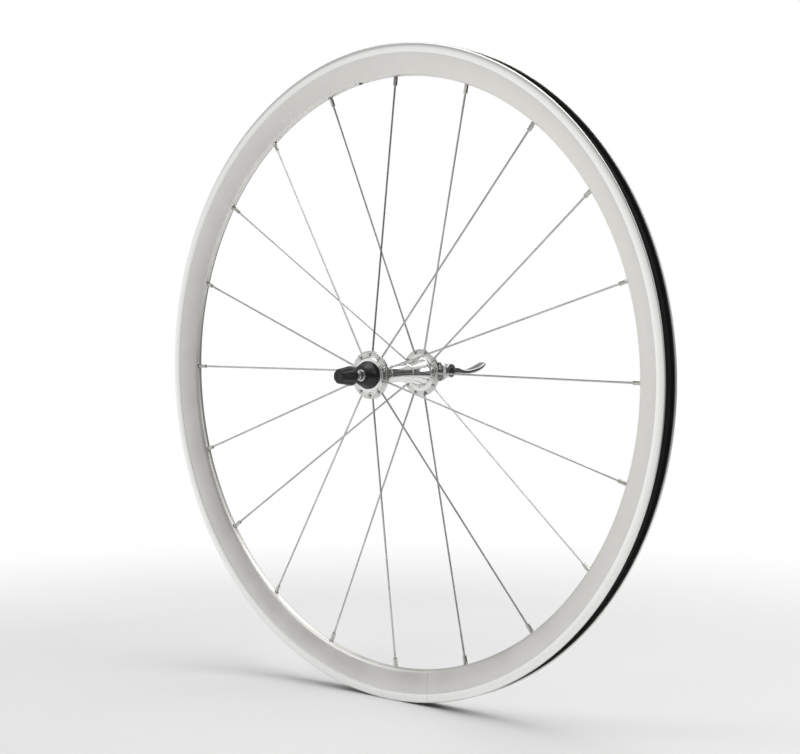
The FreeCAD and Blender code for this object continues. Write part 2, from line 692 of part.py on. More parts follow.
def nut_cap():
    """The black finger grip over the nut's core, with flutes and a closed end."""
    cap = turned(
        (NUT_FLANGE_RADIUS + 0.03, NUT_CAP_START_Y),
        (NUT_CAP_RADIUS, NUT_CAP_START_Y),
        (NUT_CAP_RADIUS, NUT_CAP_START_Y + 3.0),
        (NUT_CAP_END_RADIUS, NUT_CAP_END_Y - 1.8),
        ((NUT_CAP_END_RADIUS - 0.7, NUT_CAP_END_Y - 0.5), (NUT_CAP_END_RADIUS - 2.2, NUT_CAP_END_Y)),
        (0.0, NUT_CAP_END_Y),
        (0.0, NUT_POCKET_END_Y),
        (NUT_POCKET_RADIUS, NUT_POCKET_END_Y),
        (NUT_POCKET_RADIUS, NUT_FLANGE_END_Y + 0.03),
        (NUT_FLANGE_RADIUS + 0.03, NUT_FLANGE_END_Y + 0.03),
    )
    start = Vector(NUT_CAP_RADIUS + FLUTE_RADIUS - 0.9, NUT_CAP_START_Y + 3.6, 0)
    lean = Vector(NUT_CAP_END_RADIUS - NUT_CAP_RADIUS, NUT_CAP_END_Y - NUT_CAP_START_Y - 3.0, 0)
    flute = cylinder(FLUTE_RADIUS, start, lean, 30)
    flute = flute.fuse(Part.makeSphere(FLUTE_RADIUS, start))
    pocket = hexagon(NUT_HEX_FLATS + 0.06, NUT_FLANGE_END_Y, NUT_CORE_END_Y + 0.03)
    return cap.cut([pocket] + ring_of(flute, FLUTE_COUNT))


def nut_insert():
    return tube(NUT_THREAD_RADIUS, INSERT_RADIUS, NUT_CORE_END_Y + 0.1, INSERT_END_Y)


def cone_spring():
    """A conical coil between the axle's end and the grip's recess, its small end on the axle."""
    low = AXLE_END_Y + 0.1 + SPRING_WIRE_RADIUS
    high = GRIP_FACE_Y + SPRING_RECESS_DEPTH - 0.1 - SPRING_WIRE_RADIUS
    height = high - low
    angle = math.degrees(math.atan((SPRING_LARGE_RADIUS - SPRING_SMALL_RADIUS) / height))
    coil = Part.makeHelix(height / SPRING_TURNS, height, SPRING_SMALL_RADIUS, angle)
    start = coil.Edges[0].valueAt(coil.Edges[0].FirstParameter)
    heading = coil.Edges[0].tangentAt(coil.Edges[0].FirstParameter)
    section = Part.Wire(Part.makeCircle(SPRING_WIRE_RADIUS, start, heading))
    spring = Part.Wire(coil.Edges).makePipeShell([section], True, True)
    spring.rotate(ORIGIN, Vector(1, 0, 0), -90)
    spring.translate(Vector(0, low, 0))
    return spring


def main():
    os.makedirs("parts", exist_ok=True)
    save("rim", rim())
    save("rim_joint_sleeve", joint_sleeve())
    save("rim_tape", rim_tape())
    left_spoke = spoke()
    left_nipple = nipple()
    for side, phase, turn in (("left", 0.0, lambda s: s), ("right", RIGHT_SIDE_PHASE, mirrored)):
        save("spokes_" + side, *ring_of(turn(left_spoke), SPOKES_A_SIDE, phase))
        save("nipples_" + side, *ring_of(turn(left_nipple), SPOKES_A_SIDE, phase))
        save("end_cap_" + side, turn(end_cap()))
        save("lock_ring_" + side, turn(lock_ring()))
        inner = race(BEARING_BORE_RADIUS, INNER_RACE_RADIUS, PITCH_RADIUS - GROOVE_RADIUS)
        outer = race(BEARING_OUTER_RADIUS, OUTER_RACE_RADIUS, PITCH_RADIUS + GROOVE_RADIUS)
        save("bearing_" + side + "_inner_race", turn(inner))
        save("bearing_" + side + "_outer_race", turn(outer))
        save("bearing_" + side + "_balls", *[turn(ball) for ball in balls()])
        save("bearing_" + side + "_cage", turn(cage()))
        save("bearing_" + side + "_seals", *[turn(seal) for seal in seals()])
        save("spring_" + side, turn(cone_spring()))
    save("hub_shell", hub_shell())
    save("axle", axle())
    save("skewer_rod", skewer_rod())
    save("lever_pin", lever_pin())
    save("lever", lever())
    save("cam_pad", cam_pad())
    save("clamp_cup", clamp_cup())
    save("nut_core", mirrored(nut_core()))
    save("nut_cap", mirrored(nut_cap()))
    save("nut_insert", mirrored(nut_insert()))


main()
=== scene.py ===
# %% [markdown]
# # A bicycle's front wheel with its quick release
# The CAD model holds the wheel's sizes and its moving bodies. This lesson gives each visible piece a finer
# mesh and a real finish, and leaves the hidden bearings as the CAD made them. First the frame is loaded.

# %% Load the frame
import json
import math

import bpy
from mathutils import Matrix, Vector


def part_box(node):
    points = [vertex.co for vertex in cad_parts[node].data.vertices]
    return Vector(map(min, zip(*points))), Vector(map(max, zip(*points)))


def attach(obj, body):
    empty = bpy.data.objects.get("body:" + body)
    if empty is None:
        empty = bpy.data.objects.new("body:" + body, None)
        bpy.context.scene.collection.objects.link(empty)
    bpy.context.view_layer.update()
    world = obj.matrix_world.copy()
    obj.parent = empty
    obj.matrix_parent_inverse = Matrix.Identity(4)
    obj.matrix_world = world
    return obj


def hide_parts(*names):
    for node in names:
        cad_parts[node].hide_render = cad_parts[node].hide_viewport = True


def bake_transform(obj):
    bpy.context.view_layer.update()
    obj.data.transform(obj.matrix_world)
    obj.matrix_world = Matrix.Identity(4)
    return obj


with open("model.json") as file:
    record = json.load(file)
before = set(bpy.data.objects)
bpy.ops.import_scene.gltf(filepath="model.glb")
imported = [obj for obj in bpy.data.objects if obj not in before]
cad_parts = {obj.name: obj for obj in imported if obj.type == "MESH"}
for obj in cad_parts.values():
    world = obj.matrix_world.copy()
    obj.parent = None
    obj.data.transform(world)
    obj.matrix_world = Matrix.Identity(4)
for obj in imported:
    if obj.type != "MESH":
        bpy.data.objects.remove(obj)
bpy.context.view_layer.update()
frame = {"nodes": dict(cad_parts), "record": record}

nodes = frame["nodes"]

# %% [markdown]
# The wheel stands on its rim, so the rim's lowest point is the floor. +Y runs along the axle to the lever.
# All sizes below are in millimetres, as on a workshop drawing, and MM turns them into Blender's metres. The
# few that the frame can give are read from it.

# %% Sizes that the frame gives
MM = 0.001
AXLE = Vector((0, 1, 0))
RIM_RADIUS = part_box("rim")[1].x / MM
TRACK_HALF_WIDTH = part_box("rim")[1].y / MM
FLOOR_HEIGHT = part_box("rim")[0].z
FLANGE_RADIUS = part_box("hub_shell")[1].x / MM
SHELL_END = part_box("hub_shell")[1].y / MM
CAP_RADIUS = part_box("end_cap_left")[1].x / MM
CAP_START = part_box("end_cap_left")[0].y / MM
DROPOUT_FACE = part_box("end_cap_left")[1].y / MM
GRIP_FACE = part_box("clamp_cup")[0].y / MM
GRIP_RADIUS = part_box("clamp_cup")[1].x / MM
ROD_END_NUT, ROD_END_LEVER = (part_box("skewer_rod")[i].y / MM for i in (0, 1))
PIVOT = sum(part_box("lever_pin")[i].y for i in (0, 1)) / 2 / MM
print("rim radius %.1f, half width %.1f, flange radius %.1f" % (RIM_RADIUS, TRACK_HALF_WIDTH, FLANGE_RADIUS))

# %% [markdown]
# ## Camera
# The camera stands a little above the axle, off to the front and the right of the wheel, so the rim shows
# as a tall ellipse and the hub from one end. A long lens keeps the ellipse's perspective gentle.

# %% Camera
CAMERA_PLACE = Vector((1.175, -1.288, 0.075))
CAMERA_TARGET = Vector((0.005, 0.0, -0.003))
bpy.ops.object.select_all(action="DESELECT")
bpy.ops.object.camera_add(location=CAMERA_PLACE)
camera = bpy.context.object
camera.rotation_euler = (CAMERA_TARGET - CAMERA_PLACE).to_track_quat("-Z", "Y").to_euler()
camera.data.lens = 81
camera.data.sensor_width = 36
bpy.context.scene.camera = camera
print("camera distance %.3f m" % (CAMERA_TARGET - CAMERA_PLACE).length)

# %% [markdown]
# ## Studio
# Polished metal shows its surroundings, so it needs bright and dark to look like metal. The floor is pale
# and plain, and large soft lamps make the shadows mild. The sky that reflections see is bright overhead,
# lit in front of the wheel and dark behind it, like a studio with windows along one wall. The camera itself
# sees plain white. The floor turns clear some way out from the wheel, so that no edge of it shows.

# %% Floor and lamps
bpy.context.scene.view_settings.view_transform = "Standard"
bpy.ops.mesh.primitive_circle_add(vertices=96, radius=7, fill_type="NGON", location=(0, 0, FLOOR_HEIGHT))
floor = bpy.context.object
floor.name = "floor"
FADE_START, FADE_END = 0.45, 1.2


def soft_lamp(name, place, size, watts):
    """A square lamp of some metres a side that points at the middle of the wheel."""
    bpy.ops.object.light_add(type="AREA", location=place)
    lamp = bpy.context.object
    lamp.name = name
    lamp.data.size = size
    lamp.data.energy = watts
    lamp.rotation_euler = (-Vector(place)).to_track_quat("-Z", "Y").to_euler()


soft_lamp("key_lamp", (-1.6, -2.2, 2.3), 1.6, 17)
soft_lamp("top_lamp", (0.3, 0.2, 3.0), 2.4, 39)
soft_lamp("side_lamp", (2.6, 0.4, 1.2), 1.2, 10)
soft_lamp("back_lamp", (-0.8, 2.8, 1.7), 1.8, 14)


# %% Sky
DARK_SIDE = [(0.0, 0.55), (0.20, 0.40), (0.30, 0.08), (0.74, 0.08), (0.84, 0.60), (1.0, 0.9)]
LIT_SIDE = [(0.0, 0.75), (0.38, 0.95), (0.53, 0.98), (0.60, 0.36), (0.78, 0.34), (1.0, 0.9)]


def studio_sky():
    """White to the camera. To reflections, a lit wall in front of the wheel and a dark one behind it."""
    world = bpy.data.worlds.new("studio_sky")
    world.use_nodes = True
    tree = world.node_tree
    tree.nodes.clear()

    def add(kind, inputs, **settings):
        node = tree.nodes.new(kind)
        for key, value in settings.items():
            setattr(node, key, value)
        for key, value in inputs.items():
            if isinstance(value, bpy.types.NodeSocket):
                tree.links.new(value, node.inputs[key])
            else:
                node.inputs[key].default_value = value
        return node

    def ramp(place, stops, strength=1.0):
        band = add("ShaderNodeValToRGB", {"Fac": place})
        band.color_ramp.interpolation = "EASE"
        for i, (position, grey) in enumerate(stops):
            stop = band.color_ramp.elements[i] if i < 2 else band.color_ramp.elements.new(position)
            stop.position = position
            stop.color = (grey, grey, grey, 1)
        return add("ShaderNodeBackground", {"Color": band.outputs["Color"], "Strength": strength}).outputs[0]

    split = add("ShaderNodeSeparateXYZ", {0: add("ShaderNodeTexCoord", {}).outputs["Generated"]})
    half_up = {0: split.outputs["Z"], 1: 0.5, 2: 0.5}
    height = add("ShaderNodeMath", half_up, operation="MULTIPLY_ADD").outputs[0]
    behind = add("ShaderNodeMath", {0: split.outputs["X"], 1: split.outputs["Y"]}, operation="ADD").outputs[0]
    dark = add("ShaderNodeMapRange", {"Value": behind, "From Min": -0.4, "From Max": 0.9}).outputs[0]
    window = {"Value": split.outputs["X"], "From Min": -0.1, "From Max": -0.8, "To Min": 0.5, "To Max": 1.0}
    lit = ramp(height, LIT_SIDE, add("ShaderNodeMapRange", window).outputs[0])
    sides = add("ShaderNodeMixShader", {0: dark, 1: lit, 2: ramp(height, DARK_SIDE)}).outputs[0]
    seen = add("ShaderNodeBackground", {"Color": (1, 1, 1, 1)}).outputs[0]
    camera_ray = add("ShaderNodeLightPath", {}).outputs["Is Camera Ray"]
    surface = add("ShaderNodeMixShader", {0: camera_ray, 1: sides, 2: seen}).outputs[0]
    add("ShaderNodeOutputWorld", {"Surface": surface}, is_active_output=True)
    return world


bpy.context.scene.world = studio_sky()

# %% [markdown]
# ## Finishes
# Each finish is a Principled shader whose colour, roughness and bump vary as the real surface does.
# `Finish` keeps the node code short: it holds a material, and has one method for each kind of node that the
# finishes share. Patterns are in Object coordinates, so a scale of 1000 means one cell in a millimetre.

# %% A helper that wires finishes


class Finish:
    """A material under construction. Values passed between its methods are node sockets."""

    def __init__(self, name, colour, roughness, metallic=0.0, **sockets):
        self.material = bpy.data.materials.new(name)
        self.material.use_nodes = True
        self.tree = self.material.node_tree
        self.shader = self.tree.nodes["Principled BSDF"]
        self.shader.inputs["Base Color"].default_value = (*colour, 1)
        self.shader.inputs["Roughness"].default_value = roughness
        self.shader.inputs["Metallic"].default_value = metallic
        for socket, value in sockets.items():
            self.shader.inputs[socket.replace("_", " ")].default_value = value
        place = self.add("ShaderNodeTexCoord")
        self.place = place.outputs["Object"]
        split = self.add("ShaderNodeSeparateXYZ", {0: self.place})
        self.x, self.y, self.z = split.outputs

    def add(self, kind, inputs=None, **settings):
        node = self.tree.nodes.new(kind)
        for key, value in settings.items():
            setattr(node, key, value)
        for key, value in (inputs or {}).items():
            if isinstance(value, bpy.types.NodeSocket):
                self.tree.links.new(value, node.inputs[key])
            else:
                node.inputs[key].default_value = value
        return node

    def math(self, operation, a, b=0.0):
        return self.add("ShaderNodeMath", {0: a, 1: b}, operation=operation).outputs[0]

    def fit(self, value, low, high, to_low=0.0, to_high=1.0):
        inputs = {"Value": value, "From Min": low, "From Max": high, "To Min": to_low, "To Max": to_high}
        return self.add("ShaderNodeMapRange", inputs).outputs[0]

    def grain(self, scale, detail=2.0, stretch=None):
        """Cloudy noise. stretch squeezes it along X, Y and Z into streaks."""
        where = self.place
        if stretch:
            where = self.add("ShaderNodeMapping", {"Vector": where, "Scale": stretch}).outputs[0]
        noise = self.add("ShaderNodeTexNoise", {"Vector": where, "Scale": scale, "Detail": detail})
        return noise.outputs["Fac"]

    def from_axle(self):
        """The distance from the wheel's axle."""
        x_squared = self.math("MULTIPLY", self.x, self.x)
        squares = self.math("ADD", x_squared, self.math("MULTIPLY", self.z, self.z))
        return self.math("SQRT", squares)

    def lines(self, value, scale):
        """Noise that varies with one value only, such as the marks of a lathe."""
        inputs = {"W": value, "Scale": scale, "Detail": 3.0}
        return self.add("ShaderNodeTexNoise", inputs, noise_dimensions="1D").outputs[0]

    def blend(self, most, rest):
        """Seven parts of one value to three of another."""
        return self.math("ADD", self.math("MULTIPLY", most, 0.7), self.math("MULTIPLY", rest, 0.3))

    def mix(self, amount, a, b):
        """Goes from colour a to colour b. Each is a socket, or red, green and blue."""
        node = self.add("ShaderNodeMix", data_type="RGBA")
        for key, value in {"Factor": amount, "A": a, "B": b}.items():
            socket = next(s for s in node.inputs if s.name == key and s.enabled)
            if isinstance(value, bpy.types.NodeSocket):
                self.tree.links.new(value, socket)
            else:
                socket.default_value = (*value, 1)
        return next(s for s in node.outputs if s.enabled)

    def colour(self, socket):
        self.tree.links.new(socket, self.shader.inputs["Base Color"])

    def rough(self, socket):
        self.tree.links.new(socket, self.shader.inputs["Roughness"])

    def bump(self, height, strength, distance):
        """Distance is how deep a full step of the height would be, in millimetres."""
        inputs = {"Height": height, "Strength": strength, "Distance": distance * MM}
        self.tree.links.new(self.add("ShaderNodeBump", inputs).outputs[0], self.shader.inputs["Normal"])


# %% [markdown]
# The rim has two finishes on one piece. Its sloping walls and crown are bead-blasted and anodised: a fine,
# even grain with a soft sheen. Its brake tracks are machined flat after that, so they are brighter and
# carry fine concentric lines. The tracks are the only places this far out along the axle, so one test on Y
# tells the two apart. A hairline across the rim marks the joint opposite the valve hole.

# %% Rim finish
VALVE_ANGLE = math.radians(99)
SEAM_ANGLE = VALVE_ANGLE + math.pi
SEAM_HALF_WIDTH = 0.09


def rim_finish():
    f = Finish("blasted_and_machined_rim", (0.83, 0.82, 0.785), 0.42, 1.0)
    radius = f.from_axle()
    on_track = f.fit(f.math("ABSOLUTE", f.y), 9.33 * MM, 9.45 * MM)
    blasted = f.grain(2600, 3)
    clouds = f.grain(28, 3)
    rings = f.lines(radius, 1900)
    from_x = f.math("MULTIPLY", f.x, math.sin(SEAM_ANGLE))
    across = f.math("SUBTRACT", from_x, f.math("MULTIPLY", f.z, math.cos(SEAM_ANGLE)))
    on_seam = f.math("LESS_THAN", f.math("ABSOLUTE", across), SEAM_HALF_WIDTH * MM)
    low_half = f.math("LESS_THAN", f.z, 0.0)
    seam = f.math("MULTIPLY", on_seam, low_half)
    wall = f.mix(f.fit(clouds, 0.35, 0.7), (0.80, 0.79, 0.755), (0.86, 0.85, 0.815))
    track = f.mix(f.fit(rings, 0.3, 0.7), (0.88, 0.88, 0.87), (0.95, 0.95, 0.94))
    f.colour(f.mix(seam, f.mix(on_track, wall, track), (0.12, 0.12, 0.12)))
    wall_rough = f.fit(clouds, 0.3, 0.7, 0.40, 0.48)
    track_rough = f.fit(rings, 0.3, 0.7, 0.17, 0.30)
    swing = f.math("MULTIPLY", on_track, f.math("SUBTRACT", track_rough, wall_rough))
    f.rough(f.math("ADD", wall_rough, swing))
    wall_height = f.math("MULTIPLY", blasted, f.math("SUBTRACT", 1.0, on_track))
    f.bump(f.math("ADD", wall_height, f.math("MULTIPLY", rings, on_track)), 0.04, 0.012)
    return f.material


# %% [markdown]
# Turned and polished aluminium: the hub and the clamp pieces come off a lathe, and a lathe leaves rings
# that circle the axle, finer where the piece was polished afterwards. A ring is a place where both the
# distance from the axle and the place along it are the same, so their sum drives the noise. The lever is
# forged and then polished along its length, so its faint marks run that way instead. The hub has a finish
# of its own: the outer part of each flange is rougher, and its colour is darker as painted shade.


# %% Aluminium finishes
RING_SCALE = 3000
BOSS_FOOT = 17.95


def lathe_finish(name, dull, bright, roughness, depth, ring_scale):
    f = Finish(name, bright, roughness, 1.0)
    rings = f.lines(f.math("ADD", f.from_axle(), f.y), ring_scale)
    smears = f.grain(120, 4)
    f.colour(f.mix(f.fit(rings, 0.3, 0.7), dull, bright))
    f.rough(f.fit(f.blend(smears, rings), 0.3, 0.7, roughness * 0.75, roughness * 1.35))
    f.bump(rings, 0.25, depth)
    return f.material


def hub_finish():
    """Polished all over. Outside the boss the flanges are rougher, and their colour is darker as painted
    shade.
    """
    f = Finish("polished_hub", (0.86, 0.86, 0.85), 0.12, 1.0)
    radius = f.from_axle()
    flange = f.math("GREATER_THAN", radius, BOSS_FOOT * MM)
    rings = f.lines(f.math("ADD", radius, f.y), RING_SCALE)
    smears = f.grain(120, 4)
    # Painted shade: the flanges outside the boss are coloured darker. A fine grain adds random darker tone
    # all over.
    painted_shade_and_tone = f.math("ADD", f.math("MULTIPLY", flange, 0.7), f.fit(f.grain(260, 3), 0.5, 0.8, 0.0, 0.3))
    f.colour(f.mix(painted_shade_and_tone, (0.87, 0.87, 0.86), (0.62, 0.61, 0.595)))
    even = f.fit(f.blend(smears, rings), 0.3, 0.7, 0.08, 0.15)
    f.rough(f.math("ADD", even, f.math("MULTIPLY", flange, 0.13)))
    f.bump(rings, 0.25, 0.004)
    return f.material


def lever_finish():
    f = Finish("polished_forging", (0.86, 0.86, 0.85), 0.13, 1.0)
    marks = f.grain(900, 3, stretch=(1.0, 0.05, 1.0))
    worn = f.grain(90, 4)
    f.colour(f.mix(f.fit(worn, 0.4, 0.7), (0.88, 0.88, 0.87), (0.80, 0.80, 0.79)))
    f.rough(f.fit(f.math("ADD", marks, worn), 0.7, 1.3, 0.09, 0.22))
    f.bump(marks, 0.12, 0.01)
    return f.material


# %% [markdown]
# Steel wire is drawn through a die, which leaves streaks along its length. On radial spokes that direction
# turns with the spoke, so a fine even grain stands for it. Nipples are nickel-plated brass, warmer in
# colour. Bearing rings are ground, and the balls are the only real mirrors on the wheel.


# %% Steel and nickel finishes
def steel_finish(name, dull, bright, roughness, grain_scale=1500, depth=0.003):
    f = Finish(name, bright, roughness, 1.0)
    grain = f.grain(grain_scale, 3)
    patches = f.grain(60, 3)
    f.colour(f.mix(f.fit(patches, 0.35, 0.7), dull, bright))
    f.rough(f.fit(grain, 0.3, 0.7, roughness * 0.7, roughness * 1.3))
    if depth:
        f.bump(grain, 0.2, depth)
    return f.material


# %% [markdown]
# The black pieces differ in touch: the anodised end caps are smooth and satin, the moulded nut cap and cam
# pad have a spark-eroded grain, and the seals are dull rubber. The rim tape is a woven nylon strip. Its
# threads run round the rim and across it, so its weave uses the angle about the axle, times the radius, and
# the place along the axle.


# %% Black finishes and nylon
def moulded_finish(name, colour, roughness, grain_scale, depth, **sockets):
    f = Finish(name, colour, roughness, 0.0, **sockets)
    grain = f.grain(grain_scale, 2)
    handling = f.grain(140, 3)
    lighter = tuple(min(1.0, c * 1.6 + 0.004) for c in colour)
    f.colour(f.mix(f.fit(handling, 0.5, 0.8, 0.0, 0.6), colour, lighter))
    f.rough(f.fit(handling, 0.3, 0.7, roughness * 0.85, roughness * 1.15))
    f.bump(grain, 0.5, depth)
    return f.material


def tape_finish():
    f = Finish("woven_rim_tape", (0.010, 0.010, 0.011), 0.78, 0.0, Sheen_Weight=0.08)
    threads_a_millimetre = 1.6
    angle = f.math("ARCTAN2", f.z, f.x)
    along = f.math("MULTIPLY", angle, RIM_RADIUS * math.tau * threads_a_millimetre)
    across = f.math("MULTIPLY", f.y, math.tau * threads_a_millimetre / MM)
    weave = f.math("MULTIPLY", f.math("SINE", along), f.math("SINE", across))
    dust = f.grain(70, 4)
    worn = f.fit(f.math("ADD", weave, dust), 0.2, 1.6)
    f.colour(f.mix(worn, (0.006, 0.006, 0.007), (0.022, 0.022, 0.024)))
    f.bump(weave, 0.6, 0.05)
    return f.material


# %% Make the finishes
DULL_TURNED, BRIGHT_TURNED = (0.6, 0.6, 0.6), (0.74, 0.74, 0.74)
finish = {
    "rim": rim_finish(),
    "polished_aluminium": hub_finish(),
    "lever": lever_finish(),
    "bare_aluminium": lathe_finish("turned_aluminium", DULL_TURNED, BRIGHT_TURNED, 0.28, 0.015, 2200),
    "black_cap": moulded_finish("black_anodised", (0.010, 0.010, 0.011), 0.33, 1800, 0.008),
    "spoke_steel": steel_finish("drawn_spoke_steel", (0.50, 0.50, 0.49), (0.62, 0.62, 0.61), 0.24, 400, 0),
    "nipple": steel_finish("nickel_plate", (0.50, 0.49, 0.46), (0.66, 0.645, 0.61), 0.2),
    "bearing_steel": steel_finish("ground_steel", (0.50, 0.50, 0.50), (0.62, 0.62, 0.62), 0.3),
    "ball_steel": steel_finish("ball_steel", (0.72, 0.72, 0.72), (0.80, 0.80, 0.80), 0.06, 300, 0.001),
    "skewer_steel": steel_finish("dark_skewer_steel", (0.16, 0.16, 0.16), (0.26, 0.26, 0.255), 0.3),
    "spring_steel": steel_finish("spring_wire", (0.38, 0.38, 0.38), (0.52, 0.52, 0.51), 0.28),
    "nylon": moulded_finish("natural_nylon", (0.60, 0.58, 0.50), 0.45, 1200, 0.01, Subsurface_Weight=0.1),
    "black_plastic": moulded_finish("black_moulding", (0.013, 0.013, 0.014), 0.44, 2400, 0.03),
    "seal_rubber": moulded_finish("seal_rubber", (0.014, 0.014, 0.014), 0.62, 1500, 0.02),
    "tape": tape_finish(),
}


def floor_finish():
    """A pale floor that fades into the white around it, so that no horizon crosses the wheel."""
    f = Finish("studio_floor", (0.94, 0.94, 0.94), 0.62)
    f.rough(f.fit(f.grain(3, 3), 0.3, 0.7, 0.55, 0.70))
    out_from_wheel = f.add("ShaderNodeVectorMath", {0: f.place}, operation="LENGTH").outputs["Value"]
    fade = {"Value": out_from_wheel, "From Min": FADE_START, "From Max": FADE_END}
    clear = f.add("ShaderNodeMapRange", fade)
    clear.interpolation_type = "SMOOTHSTEP"
    seen_through = f.add("ShaderNodeMath", {0: 1.0, 1: clear.outputs[0]}, operation="SUBTRACT")
    f.tree.links.new(seen_through.outputs[0], f.shader.inputs["Alpha"])
    return f.material


floor.data.materials.append(floor_finish())
for entry in frame["record"]["subparts"]:
    nodes[entry["node"]].material_slots[0].material = finish[entry["material_slot"]]
print("finishes:", ", ".join(sorted(finish)))

# %% [markdown]
# ## Modelling helpers
# Most of a wheel is turned on a lathe, and Blender's Spin does the same: it sweeps a drawn profile about an
# axis. A profile starts as one vertex and grows by extruding. `turned_piece` draws the profile, spins it
# about the axle, merges the seam and the poles, and points the faces outwards.

# %% Selection and clean-up helpers
WELD = 2e-6
SHARP_EDGE = math.radians(32)


def select_only(*pieces):
    if bpy.context.object and bpy.context.object.mode != "OBJECT":
        bpy.ops.object.mode_set(mode="OBJECT")
    bpy.ops.object.select_all(action="DESELECT")
    for piece in pieces:
        piece.select_set(True)
    bpy.context.view_layer.objects.active = pieces[0] if pieces else None


def edit(piece, choose="SELECT"):
    select_only(piece)
    bpy.ops.object.mode_set(mode="EDIT")
    bpy.ops.mesh.select_all(action=choose)


def clean(piece):
    """Merges doubles, points faces outwards, and smooths all but the sharp edges."""
    edit(piece)
    bpy.ops.mesh.remove_doubles(threshold=WELD)
    bpy.ops.mesh.normals_make_consistent(inside=False)
    bpy.ops.object.mode_set(mode="OBJECT")
    bpy.ops.object.shade_smooth_by_angle(angle=SHARP_EDGE)
    return piece


def settle(piece):
    """Moves the object's place, turn and size into its mesh."""
    select_only(piece)
    bpy.ops.object.transform_apply(location=True, rotation=True, scale=True)
    return piece


def arc(start, middle, end, steps):
    """Points on the circle through three points, from after the start to the end."""
    (ax, ay), (bx, by), (cx, cy) = start, middle, end
    d = 2 * (ax * (by - cy) + bx * (cy - ay) + cx * (ay - by))
    ux = ((ax**2 + ay**2) * (by - cy) + (bx**2 + by**2) * (cy - ay) + (cx**2 + cy**2) * (ay - by)) / d
    uy = ((ax**2 + ay**2) * (cx - bx) + (bx**2 + by**2) * (ax - cx) + (cx**2 + cy**2) * (bx - ax)) / d
    radius = math.hypot(ax - ux, ay - uy)
    first, via, last = (math.atan2(y - uy, x - ux) for x, y in (start, middle, end))
    sweep = (last - first) % math.tau
    if (via - first) % math.tau > sweep:
        sweep -= math.tau
    turns = [first + sweep * i / steps for i in range(1, steps + 1)]
    return [(ux + radius * math.cos(t), uy + radius * math.sin(t)) for t in turns]


def draw_profile(name, points):
    """A chain of edges in the plane Z = 0 through (radius, y) points, left in edit mode."""
    select_only()
    bpy.ops.mesh.primitive_plane_add(size=MM)
    piece = bpy.context.object
    piece.name = piece.data.name = name
    bpy.ops.object.mode_set(mode="EDIT")
    bpy.ops.mesh.select_mode(type="VERT")
    bpy.ops.mesh.select_all(action="SELECT")
    bpy.ops.mesh.merge(type="CENTER")
    here = (0, 0)
    for number, there in enumerate(points):
        step = ((there[0] - here[0]) * MM, (there[1] - here[1]) * MM, 0)
        if number == 0:
            bpy.ops.transform.translate(value=step)
        else:
            bpy.ops.mesh.extrude_region_move(TRANSFORM_OT_translate={"value": step})
        here = there
    return piece


def turned_piece(name, points, steps=96, closed=True):
    """A piece turned about the axle. A closed profile is a ring; an open one ends on the axle."""
    piece = draw_profile(name, list(points) + ([points[0]] if closed else []))
    bpy.ops.mesh.select_all(action="SELECT")
    bpy.ops.mesh.remove_doubles(threshold=WELD)
    bpy.ops.mesh.spin(steps=steps, angle=math.tau, center=(0, 0, 0), axis=(0, 1, 0))
    return clean(piece)


def both_sides(left):
    """A left-hand run of a profile, then its mirror image run backwards."""
    return list(left) + [(r, -y) for r, y in reversed(left)]


# %% [markdown]
# Holes are drilled with Boolean modifiers that are applied at once. What repeats is made once, then copied
# round the axle, each copy with its own mesh, and joined. Copying for the right side uses a negative scale,
# so `clean` then turns the faces outwards again.


# %% Drilling and copying helpers
def drill(radius, start, end, sides=32):
    """A cylinder between two points given in millimetres."""
    start, end = Vector(start) * MM, Vector(end) * MM
    select_only()
    bpy.ops.mesh.primitive_cylinder_add(vertices=sides, radius=radius * MM, depth=(end - start).length)
    tool = bpy.context.object
    tool.location = (start + end) / 2
    tool.rotation_euler = (end - start).to_track_quat("Z", "Y").to_euler()
    return settle(tool)


def combine(piece, tool, operation="DIFFERENCE"):
    select_only(piece)
    bpy.ops.object.modifier_add(type="BOOLEAN")
    modifier = piece.modifiers[-1]
    modifier.operation = operation
    modifier.object = tool
    bpy.ops.object.modifier_apply(modifier=modifier.name)
    bpy.data.objects.remove(tool)
    return piece


def copy_of(piece, name, angle=0.0, mirror=False):
    """A copy turned about the axle from +X towards +Z, and mirrored to the right side if asked."""
    select_only(piece)
    bpy.ops.object.duplicate()
    copy = bpy.context.object
    copy.name = copy.data.name = name
    copy.scale = (1, -1 if mirror else 1, 1)
    copy.rotation_euler = (0, -angle, 0)
    return settle(copy)


def joined(name, pieces):
    select_only(*pieces)
    bpy.ops.object.join()
    whole = bpy.context.object
    whole.name = whole.data.name = name
    return whole


def ring_of(piece, name, count, phase=0.0, mirror=False):
    """Copies evenly spaced about the axle, as one piece."""
    angles = [phase + math.tau * i / count for i in range(count)]
    return joined(name, [copy_of(piece, name + "_copy", a, mirror) for a in angles])


def scrap(*pieces):
    for piece in pieces:
        bpy.data.objects.remove(piece)


def present(piece, body, slot, *replaced, look=None):
    """Gives a finished piece its look and its body, and hides the CAD nodes that it stands for. The look is
    the slot's finish unless another is given.
    """
    piece.data.materials.clear()
    piece.data.materials.append(finish[look or slot])
    if body:
        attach(piece, body)
    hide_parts(*replaced)
    triangles = sum(len(p.vertices) - 2 for p in piece.data.polygons)
    print("%-16s %7d triangles" % (piece.name, triangles))
    return piece


# %% [markdown]
# ## Rim
# The rim is an aluminium extrusion bent into a hoop: a hollow box under a channel that holds the tyre. Its
# outline runs from the well at the channel's middle, up over a bead seat and a hooked edge, down the flat
# brake track, and along the sloping wall to the round crown. 360 steps keep the hoop smooth even close up.
# The hollow and the holes are cut out afterwards, as they are in the real one.

